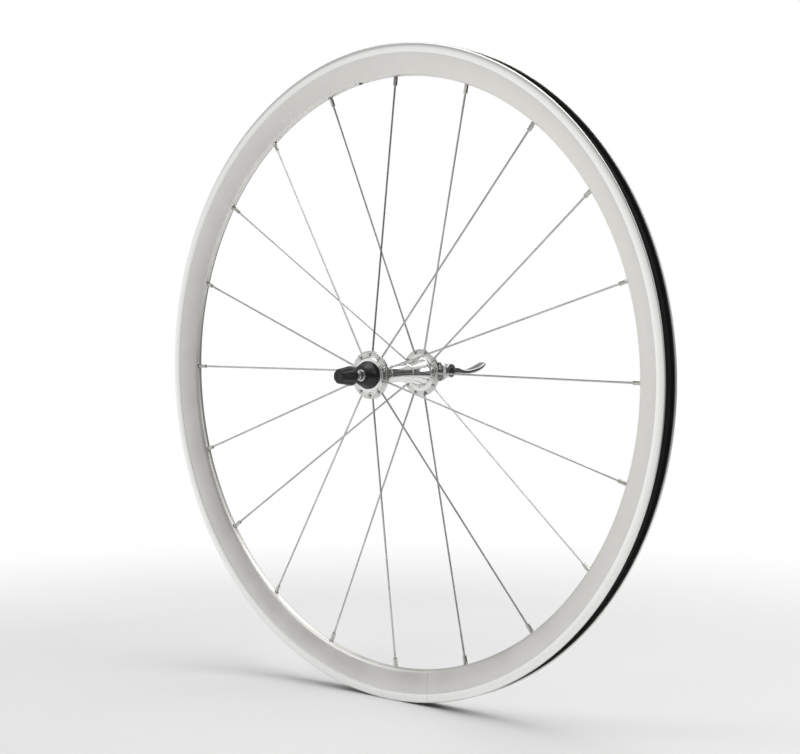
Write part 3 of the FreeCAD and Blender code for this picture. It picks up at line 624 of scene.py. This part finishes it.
# %% Rim outline
WELL = (308.0, 4.6)
SEAT_INNER = (311.0, 5.6)
SEAT_OUTER = (311.0, 7.9)
HOOK_ROOT = (315.0, 7.9)
HOOK_INSIDE = (315.9, 7.4)
HOOK_TIP = (RIM_RADIUS, 8.45)
HOOK_OUTSIDE = (315.95, TRACK_HALF_WIDTH)
TRACK_END = (308.1, TRACK_HALF_WIDTH)
SHOULDER = (307.7, 9.2)
WALL_MIDDLE = (298.3, 7.4)
CROWN_EDGE = (289.2, 4.6)
CROWN_RADIUS = 286.0
CAVITY = [(289.2, 3.25), (305.8, 7.2), (309.4, 7.2), (309.4, 6.2), (306.6, 5.2)]
RIM_STEPS = 360

left_wall = [WELL, SEAT_INNER, SEAT_OUTER, HOOK_ROOT, HOOK_INSIDE]
left_wall += arc(HOOK_INSIDE, HOOK_TIP, HOOK_OUTSIDE, 10)
left_wall += [TRACK_END, (307.85, 9.38), SHOULDER] + arc(SHOULDER, WALL_MIDDLE, CROWN_EDGE, 12)
crown = arc(CROWN_EDGE, (CROWN_RADIUS, 0.0), (CROWN_EDGE[0], -CROWN_EDGE[1]), 18)
right_wall = [(r, -y) for r, y in reversed(left_wall)]
rim = turned_piece("rim_hoop", left_wall + crown + right_wall[1:], RIM_STEPS)
combine(rim, turned_piece("cavity", both_sides(CAVITY), RIM_STEPS))

# %% Rim holes
SPOKES_A_SIDE = 10
SPOKE_COUNT = 2 * SPOKES_A_SIDE
RIGHT_PHASE = math.pi / SPOKES_A_SIDE
NIPPLE_HOLE = 2.35
VALVE_HOLE = 3.25
nipple_hole = drill(NIPPLE_HOLE, (CROWN_RADIUS - 4, 0, 0), (CROWN_RADIUS + 8, 0, 0))
combine(rim, ring_of(nipple_hole, "nipple_holes", SPOKE_COUNT))
valve_hole = drill(VALVE_HOLE, (CROWN_RADIUS - 4, 0, 0), (WELL[0] + 3, 0, 0))
combine(rim, copy_of(valve_hole, "valve_drill", VALVE_ANGLE))
scrap(nipple_hole, valve_hole)
clean(rim)
present(rim, "wheel", "rim", "rim")

# %% [markdown]
# ## Rim tape
# A black woven strip lines the channel, so that the spoke holes' edges can't cut the tube. It is drawn as a
# thin profile that follows the well, the seats and the hooks' insides, and the valve hole goes through it.
# It is cloth.

# %% Rim tape
TAPE_GAP = 0.03
TAPE_FAR = 0.43
TAPE_TOP = 314.8
tape_outside = [
    (WELL[0] + TAPE_GAP, 0.0),
    (WELL[0] + TAPE_GAP, WELL[1] - TAPE_GAP),
    (SEAT_INNER[0] + TAPE_GAP, SEAT_INNER[1] - TAPE_GAP),
    (SEAT_INNER[0] + TAPE_GAP, SEAT_OUTER[1] - TAPE_GAP),
    (TAPE_TOP, SEAT_OUTER[1] - TAPE_GAP),
    (TAPE_TOP, SEAT_OUTER[1] - TAPE_FAR),
    (SEAT_INNER[0] + TAPE_FAR + 0.3, SEAT_OUTER[1] - TAPE_FAR),
    (SEAT_INNER[0] + TAPE_FAR, SEAT_OUTER[1] - TAPE_FAR - 0.3),
    (SEAT_INNER[0] + TAPE_FAR, SEAT_INNER[1] - TAPE_FAR + 0.4),
    (SEAT_INNER[0] + TAPE_FAR - 0.4, SEAT_INNER[1] - TAPE_FAR),
    (WELL[0] + TAPE_FAR + 0.3, WELL[1] - TAPE_FAR - 0.1),
    (WELL[0] + TAPE_FAR, WELL[1] - TAPE_FAR - 0.6),
    (WELL[0] + TAPE_FAR, 0.0),
]
left_edge = tape_outside[1:-1]
tape = turned_piece("tape_strip", both_sides(left_edge), RIM_STEPS)
tape_drill = drill(VALVE_HOLE + 0.4, (WELL[0] - 3, 0, 0), (RIM_RADIUS, 0, 0))
combine(tape, copy_of(tape_drill, "tape_hole", VALVE_ANGLE))
scrap(tape_drill)
clean(tape)
present(tape, "wheel", "tape", "rim_tape")

# %% [markdown]
# ## Spokes
# A spoke is one wire: a forged head on the flange's outside, an elbow through its hole, and a long shank
# that is thinner in its middle, which lets it stretch a little. It is one circle that is extruded, scaled
# and spun from the head's top to the threaded end. Its shank runs from the flange's hole circle to the
# rim's middle plane.

# %% Spoke line
HOLE_CIRCLE = 20.0
ROOT_Y = 33.7
SPOKE_BED = 289.2
FLANGE_OUTER = 38.0
SPOKE_RADIUS = 1.0
SPOKE_MIDDLE = 0.9
HEAD_HEIGHT = 1.22
HEAD_TOP_RADIUS = 1.1
BUTT_END = 22
TAPER_END = 36
ELBOW_RADIUS = 2.4
spoke_start = Vector((HOLE_CIRCLE, ROOT_Y, 0))
spoke_line = Vector((SPOKE_BED, 0, 0)) - spoke_start
spoke_length = spoke_line.length
spoke_way = spoke_line.normalized()
elbow_turn = math.pi / 2 - math.asin(-spoke_way.y)
elbow_reach = ELBOW_RADIUS * math.tan(elbow_turn / 2)
neck_end = spoke_start + AXLE * elbow_reach
print("spoke shank %.1f mm long, elbow %.1f degrees" % (spoke_length, math.degrees(elbow_turn)))


# %% Spoke
def extrude_wire(step, centre, scale):
    """Extrudes the wire's end, then scales it about its new centre, all in millimetres."""
    bpy.ops.mesh.extrude_region_move(TRANSFORM_OT_translate={"value": step * MM})
    bpy.ops.transform.resize(value=(scale,) * 3, center_override=centre * MM)


head_top = FLANGE_OUTER + HEAD_HEIGHT
select_only()
upright = (math.pi / 2, 0, 0)
top = HEAD_TOP_RADIUS * MM
bpy.ops.mesh.primitive_circle_add(vertices=16, radius=top, fill_type="NGON", rotation=upright)
spoke = bpy.context.object
spoke.name = "spoke"
spoke.location = Vector((HOLE_CIRCLE, head_top, 0)) * MM
settle(spoke)
edit(spoke)
here = Vector((HOLE_CIRCLE, head_top, 0))
radius = HEAD_TOP_RADIUS
head_and_neck = [(0.12, 1.55), (0.25, 1.9), (0.35, 2.12), (0.38, 2.15), (0.1, 1.95), (0.02, 1.0)]
head_and_neck.append((FLANGE_OUTER - neck_end.y, SPOKE_RADIUS))
for drop, wider in head_and_neck:
    step = -AXLE * drop
    here = here + step
    extrude_wire(step, here, wider / radius)
    radius = wider
bend_centre = (neck_end + Vector((ELBOW_RADIUS, 0, 0))) * MM
bpy.ops.mesh.spin(steps=8, angle=-elbow_turn, center=bend_centre, axis=(0, 0, 1))
travelled = elbow_reach
here = spoke_start + spoke_way * travelled
butt_and_taper = [(BUTT_END, SPOKE_RADIUS), (TAPER_END, SPOKE_MIDDLE)]
butt_and_taper += [(spoke_length - TAPER_END, SPOKE_MIDDLE), (spoke_length - BUTT_END, SPOKE_RADIUS)]
butt_and_taper += [(spoke_length + 1.5, SPOKE_RADIUS)]
for distance, wider in butt_and_taper:
    step = spoke_way * (distance - travelled)
    here = here + step
    extrude_wire(step, here, wider / radius)
    travelled, radius = distance, wider
clean(spoke)
low = [min(v.co[i] for v in spoke.data.vertices) / MM for i in range(3)]
high = [max(v.co[i] for v in spoke.data.vertices) / MM for i in range(3)]
print("spoke from", [round(v, 1) for v in low], "to", [round(v, 1) for v in high])

# %% [markdown]
# ## Nipples
# A nipple is a long nut: its head sits inside the rim, and its body comes out through the crown with four
# flats for the spoke key. It is turned upright first, the flats are cut with four blocks, and it is then
# laid on the spoke's line with its seat on the spoke bed.

# %% Nipple
NIPPLE_TIP = -12.1
NIPPLE_BORE = 1.04
NIPPLE_RADIUS = 1.98
nipple_outline = [(NIPPLE_BORE, NIPPLE_TIP), (1.55, NIPPLE_TIP), (1.8, NIPPLE_TIP + 0.12)]
nipple_outline += [(NIPPLE_RADIUS, NIPPLE_TIP + 0.6), (NIPPLE_RADIUS, 0.0)]
nipple_outline += [(2.9, 0.6), (2.9, 1.9), (2.55, 2.3), (2.2, 2.4), (NIPPLE_BORE, 2.4)]
nipple = turned_piece("nipple", nipple_outline, 32)
FLAT = 1.65
for i in range(4):
    select_only()
    bpy.ops.mesh.primitive_cube_add(size=1)
    block = bpy.context.object
    block.scale = Vector((1, 6, 5)) * MM
    block.location = ((FLAT + 0.5) * MM, (NIPPLE_TIP + 3.8) * MM, 0)
    settle(block)
    block.rotation_euler = (0, i * math.pi / 2, 0)
    combine(nipple, settle(block))
clean(nipple)
nipple.rotation_euler = (0, 0, math.atan2(spoke_way.y, spoke_way.x) - math.pi / 2)
nipple.location = (spoke_start + spoke_way * (spoke_length + 0.12)) * MM
settle(nipple)

# %% Lace both sides
for side, phase, mirror in (("left", 0.0, False), ("right", RIGHT_PHASE, True)):
    laced = ring_of(spoke, "spoke_set_" + side, SPOKES_A_SIDE, phase, mirror)
    present(clean(laced), "wheel", "spoke_steel", "spokes_" + side)
    nuts = ring_of(nipple, "nipple_set_" + side, SPOKES_A_SIDE, phase, mirror)
    present(clean(nuts), "wheel", "nipple", "nipples_" + side)
scrap(spoke, nipple)

# %% [markdown]
# ## Hub shell
# The hub is one polished aluminium turning: a waisted barrel with a bead near each end, two flanges, and a
# boss outside each flange that houses a bearing. Its profile is a closed ring, because the axle passes
# through it. Every edge gets a small round, since a polishing wheel leaves none sharp, and those rounds
# catch the light.

# %% Hub shell outline
BARREL_RADIUS = 7.8
BARREL_END = (14.0, 33.5)
BEAD_Y = 15.0
BEAD_HALF = 0.9
BEAD_HEIGHT = 0.6
FLANGE_INNER = 35.0
BOSS_RADIUS = 17.0
BEARING_RADIUS = 11.0
BEARING_START = 33.5
SHELL_BORE = 6.5
rise = BARREL_END[0] - BARREL_RADIUS
waist = (BARREL_END[1] ** 2 + rise**2) / (2 * rise)


def barrel(y):
    """The barrel's radius at a place along the axle: an arc that is thinnest in the middle."""
    return (BARREL_RADIUS + waist - math.sqrt(waist**2 - y**2), y)


edge = 0.45
left_end = [barrel(BEAD_Y * i / 8) for i in range(1, 8)] + [barrel(BEAD_Y - BEAD_HALF)]
bead_top = (barrel(BEAD_Y)[0] + BEAD_HEIGHT, BEAD_Y)
left_end += arc(barrel(BEAD_Y - BEAD_HALF), bead_top, barrel(BEAD_Y + BEAD_HALF), 8)
left_end += [barrel(BEAD_Y + BEAD_HALF + (BARREL_END[1] - BEAD_Y - BEAD_HALF) * i / 12) for i in range(1, 13)]
left_end += arc(BARREL_END, (14.45, 34.55), (15.6, FLANGE_INNER), 6)


def rounded(corner, before, after, size=edge):
    """Four points round a square corner between two neighbouring directions."""
    start = (corner[0] - before[0] * size, corner[1] - before[1] * size)
    end = (corner[0] + after[0] * size, corner[1] + after[1] * size)
    bulge = 1 - math.sqrt(0.5)
    middle = (
        corner[0] + (after[0] - before[0]) * size * bulge,
        corner[1] + (after[1] - before[1]) * size * bulge,
    )
    return [start] + arc(start, middle, end, 4)


OUT, IN, ALONG = (1, 0), (-1, 0), (0, 1)
left_end += rounded((FLANGE_RADIUS, FLANGE_INNER), OUT, ALONG)
left_end += rounded((FLANGE_RADIUS, FLANGE_OUTER), ALONG, IN)
boss_foot, boss_side = (BOSS_RADIUS + 0.9, FLANGE_OUTER), (BOSS_RADIUS, FLANGE_OUTER + 0.6)
left_end += [boss_foot] + arc(boss_foot, (BOSS_RADIUS + 0.25, FLANGE_OUTER + 0.2), boss_side, 4)
left_end += arc(boss_side, (BOSS_RADIUS - 0.3, SHELL_END - 0.3), (BOSS_RADIUS - 1.0, SHELL_END), 5)
left_end += [(BEARING_RADIUS + 0.3, SHELL_END), (BEARING_RADIUS, SHELL_END - 0.3)]
left_end += [(BEARING_RADIUS, BEARING_START), (SHELL_BORE, BEARING_START - 1)]
hub = turned_piece("hub_body", [(BARREL_RADIUS, 0.0)] + both_sides(left_end), 144)

# %% Hub spoke holes
FLANGE_HOLE = 1.25
hole = drill(FLANGE_HOLE, (HOLE_CIRCLE, FLANGE_INNER - 1.2, 0), (HOLE_CIRCLE, FLANGE_OUTER + 1.5, 0), 20)
for phase, mirror in ((0.0, False), (RIGHT_PHASE, True)):
    combine(hub, ring_of(hole, "flange_holes", SPOKES_A_SIDE, phase, mirror))
scrap(hole)
clean(hub)
present(hub, "wheel", "polished_aluminium", "hub_shell")

# %% [markdown]
# ## End caps
# A black cone on each side covers the bearing and carries the ring that the fork clamps. The cone swells
# slightly, and a fine groove sets its base apart. Inside it is hollow, so its profile is a closed ring too.

# %% End caps
CAP_FACE = 8.9
CAP_BASE = CAP_START + 0.5
CAP_BORE = 5.02
CAP_BORE_END = 46.1
GROOVE = CAP_RADIUS - 0.35
cap_nose = [(CAP_BORE, CAP_START), (6.6, CAP_START), (6.6, CAP_BASE)]
cap_side = rounded((CAP_RADIUS, CAP_BASE), OUT, ALONG, 0.4)
cap_side += [(CAP_RADIUS, CAP_BASE + 1.35), (GROOVE, CAP_BASE + 1.5), (GROOVE, CAP_BASE + 1.75)]
cap_cone_end = (CAP_FACE + 0.25, DROPOUT_FACE - 0.25)
cap_side += arc((CAP_RADIUS - 0.12, CAP_BASE + 1.95), (11.4, 46.0), cap_cone_end, 12)
cap_end = [(CAP_FACE, DROPOUT_FACE), (6.0, DROPOUT_FACE), (5.95, CAP_BORE_END), (CAP_BORE, CAP_BORE_END)]
cap = turned_piece("end_cap", cap_nose + cap_side + cap_end, 96)
for side, mirror in (("left", False), ("right", True)):
    piece = clean(copy_of(cap, "cone_cap_" + side, 0.0, mirror))
    present(piece, "axle_set", "black_cap", "end_cap_" + side)
scrap(cap)

# %% [markdown]
# ## Skewer rod
# The rod is a plain steel bar with a rolled thread at the nut's end. The thread is real geometry: a small
# ridge profile, carried round and along the rod by a Screw modifier. The bar under it is thinner by the
# thread's depth.

# %% Skewer rod
ROD_RADIUS = 2.45
THREAD_CORE = 2.12
THREAD_PITCH = 0.8
THREAD_TURNS = 27
RIDGE_FOOT, RIDGE_TIP = 0.38, 0.06
RIDGE_ROOT = 2.05
thread_end = ROD_END_NUT + 1.0 + THREAD_PITCH * THREAD_TURNS
rod_outline = [(0.0, ROD_END_NUT), (1.8, ROD_END_NUT), (THREAD_CORE, ROD_END_NUT + 0.4)]
rod_outline += [(THREAD_CORE, thread_end), (ROD_RADIUS, thread_end + 0.5)]
rod_outline += [(ROD_RADIUS, ROD_END_LEVER - 0.4), (2.05, ROD_END_LEVER), (0.0, ROD_END_LEVER)]
rod = turned_piece("rod_bar", rod_outline, 48, closed=False)
ridge_start = ROD_END_NUT + 0.9
ridge = [(RIDGE_ROOT, ridge_start - RIDGE_FOOT), (ROD_RADIUS, ridge_start - RIDGE_TIP)]
ridge += [(ROD_RADIUS, ridge_start + RIDGE_TIP), (RIDGE_ROOT, ridge_start + RIDGE_FOOT)]
thread = draw_profile("thread", ridge + ridge[:1])
bpy.ops.mesh.select_all(action="SELECT")
bpy.ops.mesh.remove_doubles(threshold=WELD)
bpy.ops.object.mode_set(mode="OBJECT")
bpy.ops.object.modifier_add(type="SCREW")
screw = thread.modifiers[-1]
screw.axis = "Y"
screw.steps = screw.render_steps = 24
screw.iterations = THREAD_TURNS
screw.screw_offset = THREAD_PITCH * MM
bpy.ops.object.modifier_apply(modifier=screw.name)
edit(thread)
bpy.ops.mesh.fill_holes(sides=4)
bpy.ops.object.mode_set(mode="OBJECT")
rod = clean(joined("skewer_bar", [rod, thread]))
present(rod, "rod", "skewer_steel", "skewer_rod")

# %% [markdown]
# ## Lever pin
# The lever turns on a short round bar that lies across the rod. Its ends show as dark discs in the lever's
# cams, each with a chamfer and a shallow dimple left by the lathe's centre. It is turned about the axle,
# then swung to lie on X.

# %% Lever pin
PIN_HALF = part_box("lever_pin")[1].x / MM
PIN_RADIUS = 4.0
pin_half = [(0.0, PIN_HALF - 0.5), (0.9, PIN_HALF - 0.15), (1.3, PIN_HALF), (PIN_RADIUS - 0.4, PIN_HALF)]
pin_half += [(PIN_RADIUS, PIN_HALF - 0.4)]
pin = turned_piece("pin_bar", both_sides(pin_half), 64, closed=False)
pin.rotation_euler = (0, 0, math.pi / 2)
pin.location = (0, PIVOT * MM, 0)
clean(settle(pin))
present(pin, "rod", "skewer_steel", "lever_pin")

# %% [markdown]
# ## Lever
# The lever is a forging: a fork of two round cams, and an arm that narrows, dips and then hooks up to a
# finger tip. A grid of three faces across is extruded through a few stations for the arm, its outer two
# faces are extruded back for the fork, and subdivision rounds it. The cams are turned discs, set 0.9 mm off
# the pin so that they squeeze the cup as the lever closes, and joined by a Boolean so that the whole lever
# is one skin.

# %% Lever arm
FORK_INNER = 2.9
FORK_OUTER = 6.2
ARM_START = 87.0
ROOT_HALF_WIDTH, ROOT_HALF_HEIGHT, ROOT_Z = 6.4, 3.9, 0.4
arm = [  # place along the axle, middle height, half width, half height
    (91.0, -0.5, 6.5, 3.2),
    (98.0, -1.5, 5.9, 2.5),
    (107.0, -1.6, 5.5, 2.25),
    (117.0, 0.2, 5.8, 2.2),
    (125.0, 3.0, 5.9, 2.0),
    (130.0, 5.7, 5.0, 1.7),
    (131.6, 6.6, 3.8, 1.2),
]
select_only()
bpy.ops.mesh.primitive_grid_add(x_subdivisions=3, y_subdivisions=1, size=2, rotation=(math.pi / 2, 0, 0))
lever = bpy.context.object
lever.name = "lever_forging"
settle(lever)
for v in lever.data.vertices:
    column = FORK_INNER if abs(v.co.x) < 0.5 else ROOT_HALF_WIDTH
    v.co = Vector((math.copysign(column, v.co.x), ARM_START, ROOT_Z + v.co.z * ROOT_HALF_HEIGHT)) * MM
edit(lever)
here = Vector((0, ARM_START, ROOT_Z))
wide, high = ROOT_HALF_WIDTH, ROOT_HALF_HEIGHT
for y, z, half_width, half_height in arm:
    there = Vector((0, y, z))
    bpy.ops.mesh.extrude_region_move(TRANSFORM_OT_translate={"value": (there - here) * MM})
    squeeze = (half_width / wide, 1, half_height / high)
    bpy.ops.transform.resize(value=squeeze, center_override=there * MM)
    here, wide, high = there, half_width, half_height


# %% Lever fork
def select_faces(piece, wanted):
    """Selects the faces whose middle and normal pass a test, and leaves the piece in edit mode."""
    edit(piece, "DESELECT")
    bpy.ops.mesh.select_mode(type="FACE")
    bpy.ops.object.mode_set(mode="OBJECT")
    for face in piece.data.polygons:
        face.select = wanted(face.center / MM, face.normal)
    bpy.ops.object.mode_set(mode="EDIT")


def is_fork_root(middle, normal):
    return abs(middle.y - ARM_START) < 0.01 and abs(normal.y) > 0.9 and abs(middle.x) > FORK_INNER


select_faces(lever, is_fork_root)
for step in (Vector((0, -3.5, 0)), Vector((0, -7.5, 0.2))):
    bpy.ops.mesh.extrude_region_move(TRANSFORM_OT_translate={"value": step * MM})
bpy.ops.object.mode_set(mode="OBJECT")
clean(lever)
bpy.ops.object.modifier_add(type="SUBSURF")
smoother = lever.modifiers[-1]
smoother.levels = smoother.render_levels = 3
bpy.ops.object.modifier_apply(modifier=smoother.name)

# %% Lever cams
CAM_RADIUS = 7.0
CAM_OFFSET = 0.9
cam_outline = [(0.0, FORK_INNER)] + rounded((CAM_RADIUS, FORK_INNER), OUT, ALONG, 0.3)
cam_outline += rounded((CAM_RADIUS, FORK_OUTER), ALONG, IN, 0.7) + [(0.0, FORK_OUTER)]
for side in (1, -1):
    cam = turned_piece("cam", cam_outline, 96, closed=False)
    cam.rotation_euler = (0, 0, -side * math.pi / 2)
    cam.location = Vector((0, PIVOT, CAM_OFFSET)) * MM
    combine(lever, settle(cam), "UNION")
combine(lever, drill(PIN_RADIUS + 0.05, (-12, PIVOT, 0), (12, PIVOT, 0), 64))
clean(lever)
present(lever, "lever", "polished_aluminium", "lever", look="lever")

# %% [markdown]
# ## Cup and cam pad
# The cup grips the fork's end with sharp radial teeth. They are made on the lathe-turned cup by moving
# every fourth column of its face inwards, and the columns beside it half as far. A black plastic pad sits
# in the cup, hollowed to match the lever's cams.

# %% Cup
TOOTH_DEPTH = 0.5
COLUMNS_A_TOOTH = 4
CUP_STEPS = 96
RECESS_RADIUS = 6.6
RECESS_DEPTH = 2.5
PAD_RADIUS = 7.2
PAD_SEAT = 65.5
ROD_HOLE = 2.7
recess_floor = GRIP_FACE + RECESS_DEPTH


def cut_teeth(piece, face_y, inwards, outer):
    """Presses a ring of V-shaped grooves into the flat face at a place along the axle."""
    column = math.tau / CUP_STEPS
    for depth, wanted in ((1.0, (2,)), (0.5, (1, 3))):
        edit(piece, "DESELECT")
        bpy.ops.mesh.select_mode(type="VERT")
        bpy.ops.object.mode_set(mode="OBJECT")
        for v in piece.data.vertices:
            number = round(math.atan2(v.co.z, v.co.x) / column) % COLUMNS_A_TOOTH
            on_face = abs(v.co.y / MM - face_y) < 0.05 and math.hypot(v.co.x, v.co.z) / MM < outer
            v.select = on_face and number in wanted
        bpy.ops.object.mode_set(mode="EDIT")
        bpy.ops.transform.translate(value=(0, inwards * depth * TOOTH_DEPTH * MM, 0))
        bpy.ops.object.mode_set(mode="OBJECT")
    clean(piece)


cup_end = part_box("clamp_cup")[1].y / MM
cup_outline = [(RECESS_RADIUS, GRIP_FACE), (GRIP_RADIUS - 0.3, GRIP_FACE), (GRIP_RADIUS, GRIP_FACE + 0.8)]
cup_outline += [(GRIP_RADIUS, GRIP_FACE + 2.4)]
waist_end = (GRIP_RADIUS - 1.1, cup_end - 0.4)
cup_outline += arc(cup_outline[-1], (GRIP_RADIUS - 0.35, GRIP_FACE + 4.4), waist_end, 6)
cup_outline += [(GRIP_RADIUS - 1.4, cup_end - 0.1), (GRIP_RADIUS - 1.7, cup_end)]
cup_outline += [(PAD_RADIUS + 0.05, cup_end)]
cup_outline += [(PAD_RADIUS + 0.05, PAD_SEAT), (ROD_HOLE, PAD_SEAT)]
cup_outline += [(ROD_HOLE, recess_floor), (RECESS_RADIUS, recess_floor)]
cup = turned_piece("grip_cup", cup_outline, CUP_STEPS)
cut_teeth(cup, GRIP_FACE, 1, GRIP_RADIUS + 0.1)
present(cup, "cup", "bare_aluminium", "clamp_cup")

# %% Cam pad
TROUGH_RADIUS = 9.5
TROUGH_MIDDLE = 76.95
pad_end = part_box("cam_pad")[1].y / MM
pad_start = PAD_SEAT + 0.05
pad_outline = [(ROD_HOLE, pad_start), (PAD_RADIUS - 0.2, pad_start), (PAD_RADIUS, pad_start + 0.2)]
pad_outline += [(PAD_RADIUS, pad_end - 0.3), (PAD_RADIUS - 0.3, pad_end), (ROD_HOLE, pad_end)]
pad = turned_piece("cam_saddle", pad_outline, 96)
combine(pad, drill(TROUGH_RADIUS, (-12, TROUGH_MIDDLE, 0), (12, TROUGH_MIDDLE, 0), 128))
clean(pad)
present(pad, "cup", "black_plastic", "cam_pad")

# %% [markdown]
# ## Nut
# The nut has a steel core with the same teeth as the cup, and a black moulded cap that fingers turn. The
# cap is a turned cone whose columns are drawn in to make finger flutes. It is modelled on the left, like
# everything turned here, and mirrored to the right, where the nut goes.

# %% Nut core
CORE_RADIUS = 8.6
CORE_SHOULDER = 65.0
CORE_END = 73.0
NECK_RADIUS = 6.0
NUT_BORE = 2.5
core_outline = [(RECESS_RADIUS, GRIP_FACE), (CORE_RADIUS - 0.3, GRIP_FACE), (CORE_RADIUS, GRIP_FACE + 0.7)]
core_outline += [(CORE_RADIUS, CORE_SHOULDER), (NECK_RADIUS, CORE_SHOULDER), (NECK_RADIUS, CORE_END)]
core_outline += [(NUT_BORE, CORE_END), (NUT_BORE, recess_floor), (RECESS_RADIUS, recess_floor)]
core = turned_piece("core", core_outline, CUP_STEPS)
cut_teeth(core, GRIP_FACE, 1, CORE_RADIUS + 0.1)
nut_core = clean(copy_of(core, "grip_core", 0.0, True))
present(nut_core, "nut", "bearing_steel", "nut_core")

# %% Nut cap
SKIRT_START = 63.0
CAP_END = -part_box("nut_cap")[0].y / MM
SKIRT_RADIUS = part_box("nut_cap")[1].x / MM
SKIRT_BORE = CORE_RADIUS + 0.03
POCKET_GAP = 0.1
HOLLOW_RADIUS, HOLLOW_END = 4.5, 79.0
FLUTE_COUNT = 8
FLUTE_DEPTH = 0.115  # as a share of the radius there
FLUTE_FADE = 1.6
FLUTE_SHARPNESS = 1.6
CAP_STEPS = 128
shell = [(SKIRT_BORE, SKIRT_START), (SKIRT_RADIUS - 0.25, SKIRT_START), (SKIRT_RADIUS, SKIRT_START + 0.25)]
shell += [(SKIRT_RADIUS, SKIRT_START + 2.6), (SKIRT_RADIUS - 0.2, SKIRT_START + 2.9)]
cone_start, cone_end = (SKIRT_RADIUS - 0.22, SKIRT_START + 3.3), (7.3, CAP_END - 2.2)
shell += [tuple(a + (b - a) * i / 10 for a, b in zip(cone_start, cone_end)) for i in range(11)]
shell += arc(cone_end, (6.75, CAP_END - 0.75), (5.2, CAP_END - 0.1), 6)
shell += [(3.4, CAP_END), (3.2, CAP_END - 0.35), (0.0, CAP_END - 0.45)]
pocket_radius, pocket_start = NECK_RADIUS + POCKET_GAP, CORE_SHOULDER + POCKET_GAP
pocket_end = CORE_END + POCKET_GAP
hollow = [(0.0, HOLLOW_END), (HOLLOW_RADIUS, HOLLOW_END), (HOLLOW_RADIUS, pocket_end)]
hollow += [(pocket_radius, pocket_end), (pocket_radius, pocket_start), (SKIRT_BORE, pocket_start)]
nut_cap = turned_piece("cap", hollow + shell, CAP_STEPS, closed=False)
for v in nut_cap.data.vertices:
    y, reach = v.co.y / MM, math.hypot(v.co.x, v.co.z) / MM
    if y > cone_start[1] - 0.05 and reach > 5.0 and y < CAP_END - 0.05:
        ends = min(1.0, (y - cone_start[1] + 0.4) / FLUTE_FADE, (CAP_END - y) / FLUTE_FADE)
        wave = 0.5 + 0.5 * math.cos(FLUTE_COUNT * math.atan2(v.co.z, v.co.x))
        draw_in = 1 - FLUTE_DEPTH * ends * wave**FLUTE_SHARPNESS
        v.co.x *= draw_in
        v.co.z *= draw_in
cap_piece = clean(copy_of(nut_cap, "finger_cap", 0.0, True))
present(cap_piece, "nut", "black_plastic", "nut_cap")
scrap(core, nut_cap)

# %% [markdown]
# ## Springs
# Two conical springs keep the cup and the nut off the fork's ends while the wheel goes in. Each is one
# curve: a helix that widens from the axle's end to the recess, with flat end coils, given a round section
# and made a mesh. Each spans the joint between the rod and the cup or the nut, and is attached to no body.

# %% Springs
WIRE = 0.45
TURNS = 5
POINTS_A_TURN = 20
SPRING_SMALL, SPRING_LARGE = 3.05, 5.3
FLAT_TURNS = 0.7
FLAT_CLIMB = 0.35
AXLE_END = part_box("axle")[1].y / MM
spring_low = AXLE_END + 0.1 + WIRE
spring_high = recess_floor - 0.1 - WIRE
steep_climb = spring_high - spring_low - 2 * FLAT_TURNS * FLAT_CLIMB


def spring_point(turn):
    """A point of the helix after some turns. The first and last turns lie nearly flat."""
    climb = min(max((turn - FLAT_TURNS) / (TURNS - 2 * FLAT_TURNS), 0.0), 1.0)
    radius = SPRING_SMALL + (SPRING_LARGE - SPRING_SMALL) * turn / TURNS
    flat = FLAT_CLIMB * (min(turn, FLAT_TURNS) + max(turn - TURNS + FLAT_TURNS, 0.0))
    y = spring_low + flat + steep_climb * climb
    return Vector((radius * math.cos(math.tau * turn), y, radius * math.sin(math.tau * turn))) * MM


def coil(name):
    select_only()
    bpy.ops.curve.primitive_nurbs_path_add()
    wire = bpy.context.object
    wire.name = name
    wire.data.splines.clear()
    spline = wire.data.splines.new("NURBS")
    spline.points.add(TURNS * POINTS_A_TURN)
    for i, point in enumerate(spline.points):
        point.co = (*spring_point(i / POINTS_A_TURN), 1)
    spline.order_u = 3
    spline.use_endpoint_u = True
    wire.data.bevel_depth = WIRE * MM
    wire.data.bevel_resolution = 3
    wire.data.use_fill_caps = True
    wire.data.resolution_u = 2
    bpy.ops.object.convert(target="MESH")
    return clean(bpy.context.object)


left_spring = coil("cup_spring")
right_spring = clean(copy_of(left_spring, "nut_spring", 0.0, True))
for piece, side, body in ((left_spring, 1, "cup"), (right_spring, -1, "nut_travel")):
    present(piece, None, "spring_steel", "spring_left" if side > 0 else "spring_right")
    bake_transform(piece)
